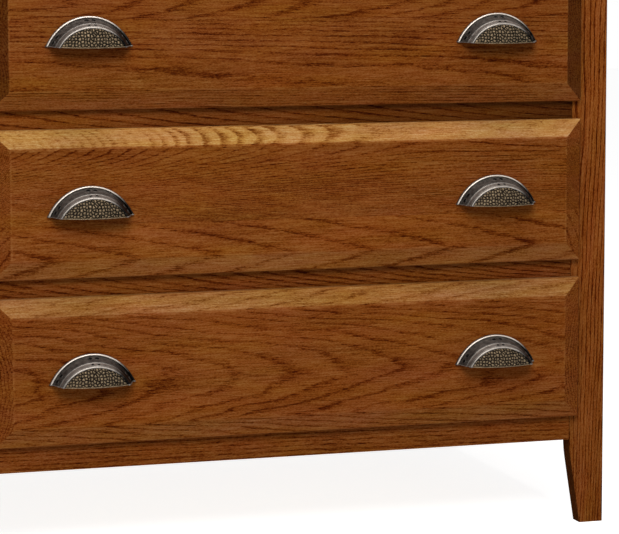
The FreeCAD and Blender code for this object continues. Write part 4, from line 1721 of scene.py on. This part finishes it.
@dataclass
class Carcass:
    """The case: face frame, framed sides, top, back and the cleats inside."""

    wood: WoodShop
    # Painted shadow: the right stile's edge shade darkens the leg's inner cheek as if in the chest's own
    # shadow; its fade makes it darker towards the foot.
    right_stile: Stave = Stave(
        44.2, -20.0, 60.0, 0.02, 3.2, drift=0.06, wander=2.2, ripple=1.6, seed=3.1, tone=1.08,
        contrast=1.5, fade=0.00028, painted_edge_shadow=0.6,
    )
    left_stile: Stave = Stave(
        44.2, 70.0, 50.0, -0.01, 2.6, drift=-0.05, wander=0.8, seed=12.4, contrast=1.4,
    )
    upper_rail: Stave = Stave(
        40.0, 46.0, 80.0, -0.05, 3.0, wander=0.8, seed=5.7, tone=0.72, contrast=1.3, fade=-0.0009,
    )
    lower_rail: Stave = Stave(
        40.0, 44.0, 80.0, -0.06, 2.2, early_share=0.56, wander=0.6, seed=8.3, tone=0.9, contrast=1.1,
    )
    bottom_rail: Stave = Stave(
        60.0, -40.0, 60.0, 0.01, 3.4, early_share=0.6, wander=1.4, seed=17.2, tone=0.92, contrast=0.6,
    )

    def build(self) -> None:
        """Dress each board of the case."""
        dress = self.wood.dress
        dress("top_panel", STAINED_OAK, Lay.ALONG_TOP)
        dress("right_front_stile", STAINED_OAK, Lay.UP_FRONT, (self.right_stile,))
        dress("left_front_stile", STAINED_OAK, Lay.UP_FRONT, (self.left_stile,))
        dress("upper_drawer_rail", STAINED_OAK, Lay.ALONG_FRONT, (self.upper_rail,))
        dress("lower_drawer_rail", STAINED_OAK, Lay.ALONG_FRONT, (self.lower_rail,))
        dress("bottom_front_rail", STAINED_OAK, Lay.ALONG_FRONT, (self.bottom_rail,))
        for rail in ("top_front_rail", "back_top_rail", "back_bottom_rail"):
            dress(rail, STAINED_OAK, Lay.ALONG_FRONT)
        for hand in HANDS:
            for board in ("front_stile", "back_stile", "panel"):
                dress(f"{hand}_side_{board}", STAINED_OAK, Lay.UP_SIDE)
            for rail in ("top_rail", "bottom_rail"):
                dress(f"{hand}_side_{rail}", STAINED_OAK, Lay.ALONG_SIDE)
        dress("back_panel", BACK_PLYWOOD, Lay.UP_FRONT)
        for cleats in ("slide_cleats", "top_cleats"):
            dress(cleats, INNER_WOOD, Lay.ALONG_SIDE)


@dataclass
class Drawer:
    """One drawer: a bevelled oak front on a maple box with a plywood bottom."""

    wood: WoodShop
    number: int
    staves: tuple[Stave, ...]
    bevel_width: float = 0.0216

    def build(self) -> None:
        """Dress the front and each board of the box."""
        name = f"drawer_{self.number}"
        dress = self.wood.dress
        dress(f"{name}_front", STAINED_OAK, Lay.ALONG_FRONT, self.staves, self.bevel_width)
        for board in ("box_front", "back"):
            dress(f"{name}_{board}", DRAWER_MAPLE, Lay.ALONG_FRONT)
        for hand in HANDS:
            dress(f"{name}_{hand}_side", DRAWER_MAPLE, Lay.ALONG_SIDE)
        dress(f"{name}_bottom", DRAWER_PLYWOOD, Lay.ACROSS_TOP)


# Each stave's bevel sets how much of the paler stain with its painted highlight and sheen its long bevels
# take; the middle drawer's upper staves take all of it.
LOW_FRONT = Stave(
    60.0, 70.0, 300.0, 0.024, 1.6, early_share=0.46, wander=0.9, ripple=2.0, seed=14.0, tone=0.97,
    contrast=0.8, bevel=0.12,
)
FRONT_STAVES = {
    1: (
        Stave(
            100.0, 20.0, 260.0, 0.006, 1.3, early_share=0.46, wander=0.6, ripple=1.3, seed=21.0,
            tone=0.87, contrast=0.75, bevel=0.04, end_shade=0.42,
        ),
        Stave(
            166.0, 128.0, 190.0, 0.02, 1.6, early_share=0.46, wander=1.2, ripple=1.4, seed=4.4, tone=0.89,
            contrast=0.9, bevel=0.5, end_shade=0.42,
        ),
    ),
    2: (
        Stave(
            60.0, -25.0, -200.0, -0.069, 6.4, early_share=0.36, wander=0.5, ripple=1.8, seed=2.0,
            contrast=0.85, bevel=0.2,
        ),
        Stave(
            144.0, 150.0, 115.0, 0.026, 1.05, bow=-0.000058, wander=1.0, ripple=0.7, phase=0.4, seed=9.0,
            tone=0.92, contrast=0.95, bevel=1.0,
        ),
        Stave(
            166.0, 105.0, 115.0, 0.037, 1.05, early_share=0.7, bow=-0.000123, wander=0.3, ripple=0.4,
            phase=0.4, seed=9.0, tone=1.01, contrast=0.9, bevel=1.0, figure=(-140.0, 50.0),
        ),
    ),
    3: (
        LOW_FRONT,
        replace(LOW_FRONT, top=144.0, contrast=0.6, bevel=0.55),
        replace(LOW_FRONT, top=166.0, contrast=0.35, bevel=0.55),
    ),
}


@dataclass
class Studio:
    """The camera where the photograph was taken from, soft lamps, a pale floor and a white room."""

    camera_left: float = -0.824116
    camera_back: float = 2.73703
    camera_height: float = 0.663854
    yaw: float = 0.29532
    pitch: float = 0.10269
    roll: float = -0.00197
    lens: float = 146.4
    sensor: float = 36.0
    shift: Pair = (0.01535, -0.06785)
    lamp_aim: Place = (0.0, -0.25, 0.38)
    key_place: Place = (-0.5, -2.2, 1.75)
    key_size: Pair = (1.4, 1.0)
    key_power: float = 46.0
    top_place: Place = (0.1, -0.75, 2.6)
    top_size: Pair = (1.2, 0.7)
    top_power: float = 22.0
    ambient: float = 0.12
    floor_half: float = 12.0
    floor_level: float = -0.0002
    floor_paint: Colour = (0.82, 0.82, 0.82, 1.0)
    floor_glow: float = 0.87

    def build(self) -> None:
        """Set up the camera, the lamps, the floor and the room."""
        self.stand_camera()
        self.hang_lamp("key_lamp", self.key_place, self.key_size, self.key_power)
        self.hang_lamp("top_lamp", self.top_place, self.top_size, self.top_power)
        self.paint_room()
        self.lay_floor()
        bpy.context.scene.view_settings.view_transform = "Standard"

    def stand_camera(self) -> None:
        """Stand the camera at the photograph's place, turned as it was."""
        forward = Vector((
            math.sin(self.yaw) * math.cos(self.pitch),
            math.cos(self.yaw) * math.cos(self.pitch),
            -math.sin(self.pitch),
        ))
        level = Vector((math.cos(self.yaw), -math.sin(self.yaw), 0.0))
        upright = level.cross(forward)
        right = level * math.cos(self.roll) + upright * math.sin(self.roll)
        above = right.cross(forward)
        turn = Matrix((right, above, -forward)).transposed()
        data = bpy.data.cameras.new("photo_camera")
        data.sensor_fit = "HORIZONTAL"
        data.sensor_width = self.sensor
        data.lens = self.lens
        data.shift_x, data.shift_y = self.shift
        camera = bpy.data.objects.new("photo_camera", data)
        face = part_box("right_front_stile")[0][1]
        place = Vector((self.camera_left, face - self.camera_back, self.camera_height))
        camera.matrix_world = Matrix.Translation(place) @ turn.to_4x4()
        bpy.context.scene.collection.objects.link(camera)
        bpy.context.scene.camera = camera

    def hang_lamp(self, name: str, place: Place, size: Pair, power: float) -> None:
        """Hang a soft rectangular lamp that points at the chest.

        Args:
            name: The lamp's name.
            place: Where it hangs.
            size: Its width and height.
            power: Its power in watts.
        """
        data = bpy.data.lights.new(name, "AREA")
        data.shape = "RECTANGLE"
        data.size, data.size_y = size
        data.energy = power
        lamp = bpy.data.objects.new(name, data)
        lamp.location = place
        lamp.rotation_euler = (Vector(self.lamp_aim) - Vector(place)).to_track_quat("-Z", "Y").to_euler()
        bpy.context.scene.collection.objects.link(lamp)

    @staticmethod
    def seen(sheet: Sheet) -> Socket:
        """Tell rays that see the room, straight or in a reflection, from rays that only light it.

        Args:
            sheet: The sheet of the room or of the floor.

        Returns:
            1 for a ray that sees it.
        """
        path = sheet.add("ShaderNodeLightPath").outputs
        mirrored = sheet.math("MAXIMUM", path["Is Camera Ray"], path["Is Glossy Ray"])
        return sheet.math("MAXIMUM", mirrored, path["Is Transmission Ray"])

    def paint_room(self) -> None:
        """Make the room white to look at and dimmer as a light."""
        world = bpy.data.worlds.new("white_room")
        bpy.context.scene.world = world
        sheet = Sheet.blank(world)
        strength = sheet.ease(self.seen(sheet), Ramp(0.0, 1.0, self.ambient, 1.0))
        white = sheet.place("ShaderNodeBackground", {"Color": WHITE, "Strength": strength})
        sheet.place("ShaderNodeOutputWorld", {"Surface": white.outputs[0]})

    def lay_floor(self) -> None:
        """Lay a pale floor that reads white and still takes the chest's shadow."""
        half = self.floor_half
        mesh = bpy.data.meshes.new("floor")
        corners = ((-half, -half), (half, -half), (half, half), (-half, half))
        mesh.from_pydata([(*corner, self.floor_level) for corner in corners], [], [(0, 1, 2, 3)])
        material = bpy.data.materials.new("pale_floor")
        sheet = Sheet.blank(material)
        matt = sheet.place("ShaderNodeBsdfDiffuse", {"Color": self.floor_paint})
        strength = sheet.times(self.seen(sheet), self.floor_glow)
        glow = sheet.place("ShaderNodeEmission", {"Color": WHITE, "Strength": strength})
        both = sheet.add("ShaderNodeAddShader")
        sheet.put(both.inputs[0], matt.outputs[0])
        sheet.put(both.inputs[1], glow.outputs[0])
        sheet.place("ShaderNodeOutputMaterial", {"Surface": both.outputs[0]})
        mesh.materials.append(material)
        mesh_object("floor", mesh)


def main() -> None:
    """Build the studio and dress the chest, piece by piece."""
    logging.basicConfig(level=logging.INFO, format="%(name)s: %(message)s")
    Studio().build()
    effects = Effects()
    wood = WoodShop(effects)
    metals = MetalShop(effects)
    Carcass(wood).build()
    for number in DRAWERS:
        Drawer(wood, number, FRONT_STAVES[number]).build()
    CupPull(metals.material(PULL_PEWTER)).build()
    steel = metals.material(SLIDE_STEEL)
    metals.dress("cabinet_slides", steel)
    for number in DRAWERS:
        for piece in ("drawer_slides", "middle_slides", "ball_cages"):
            metals.dress(f"drawer_{number}_{piece}", steel)
    owners = {f"drawer_{number}_screws": f"drawer_{number}" for number in DRAWERS}
    ScrewSet(metals.material(SCREW_STEEL)).build({"carcass_screws": "carcass"} | owners)


if __name__ == "__main__":
    main()
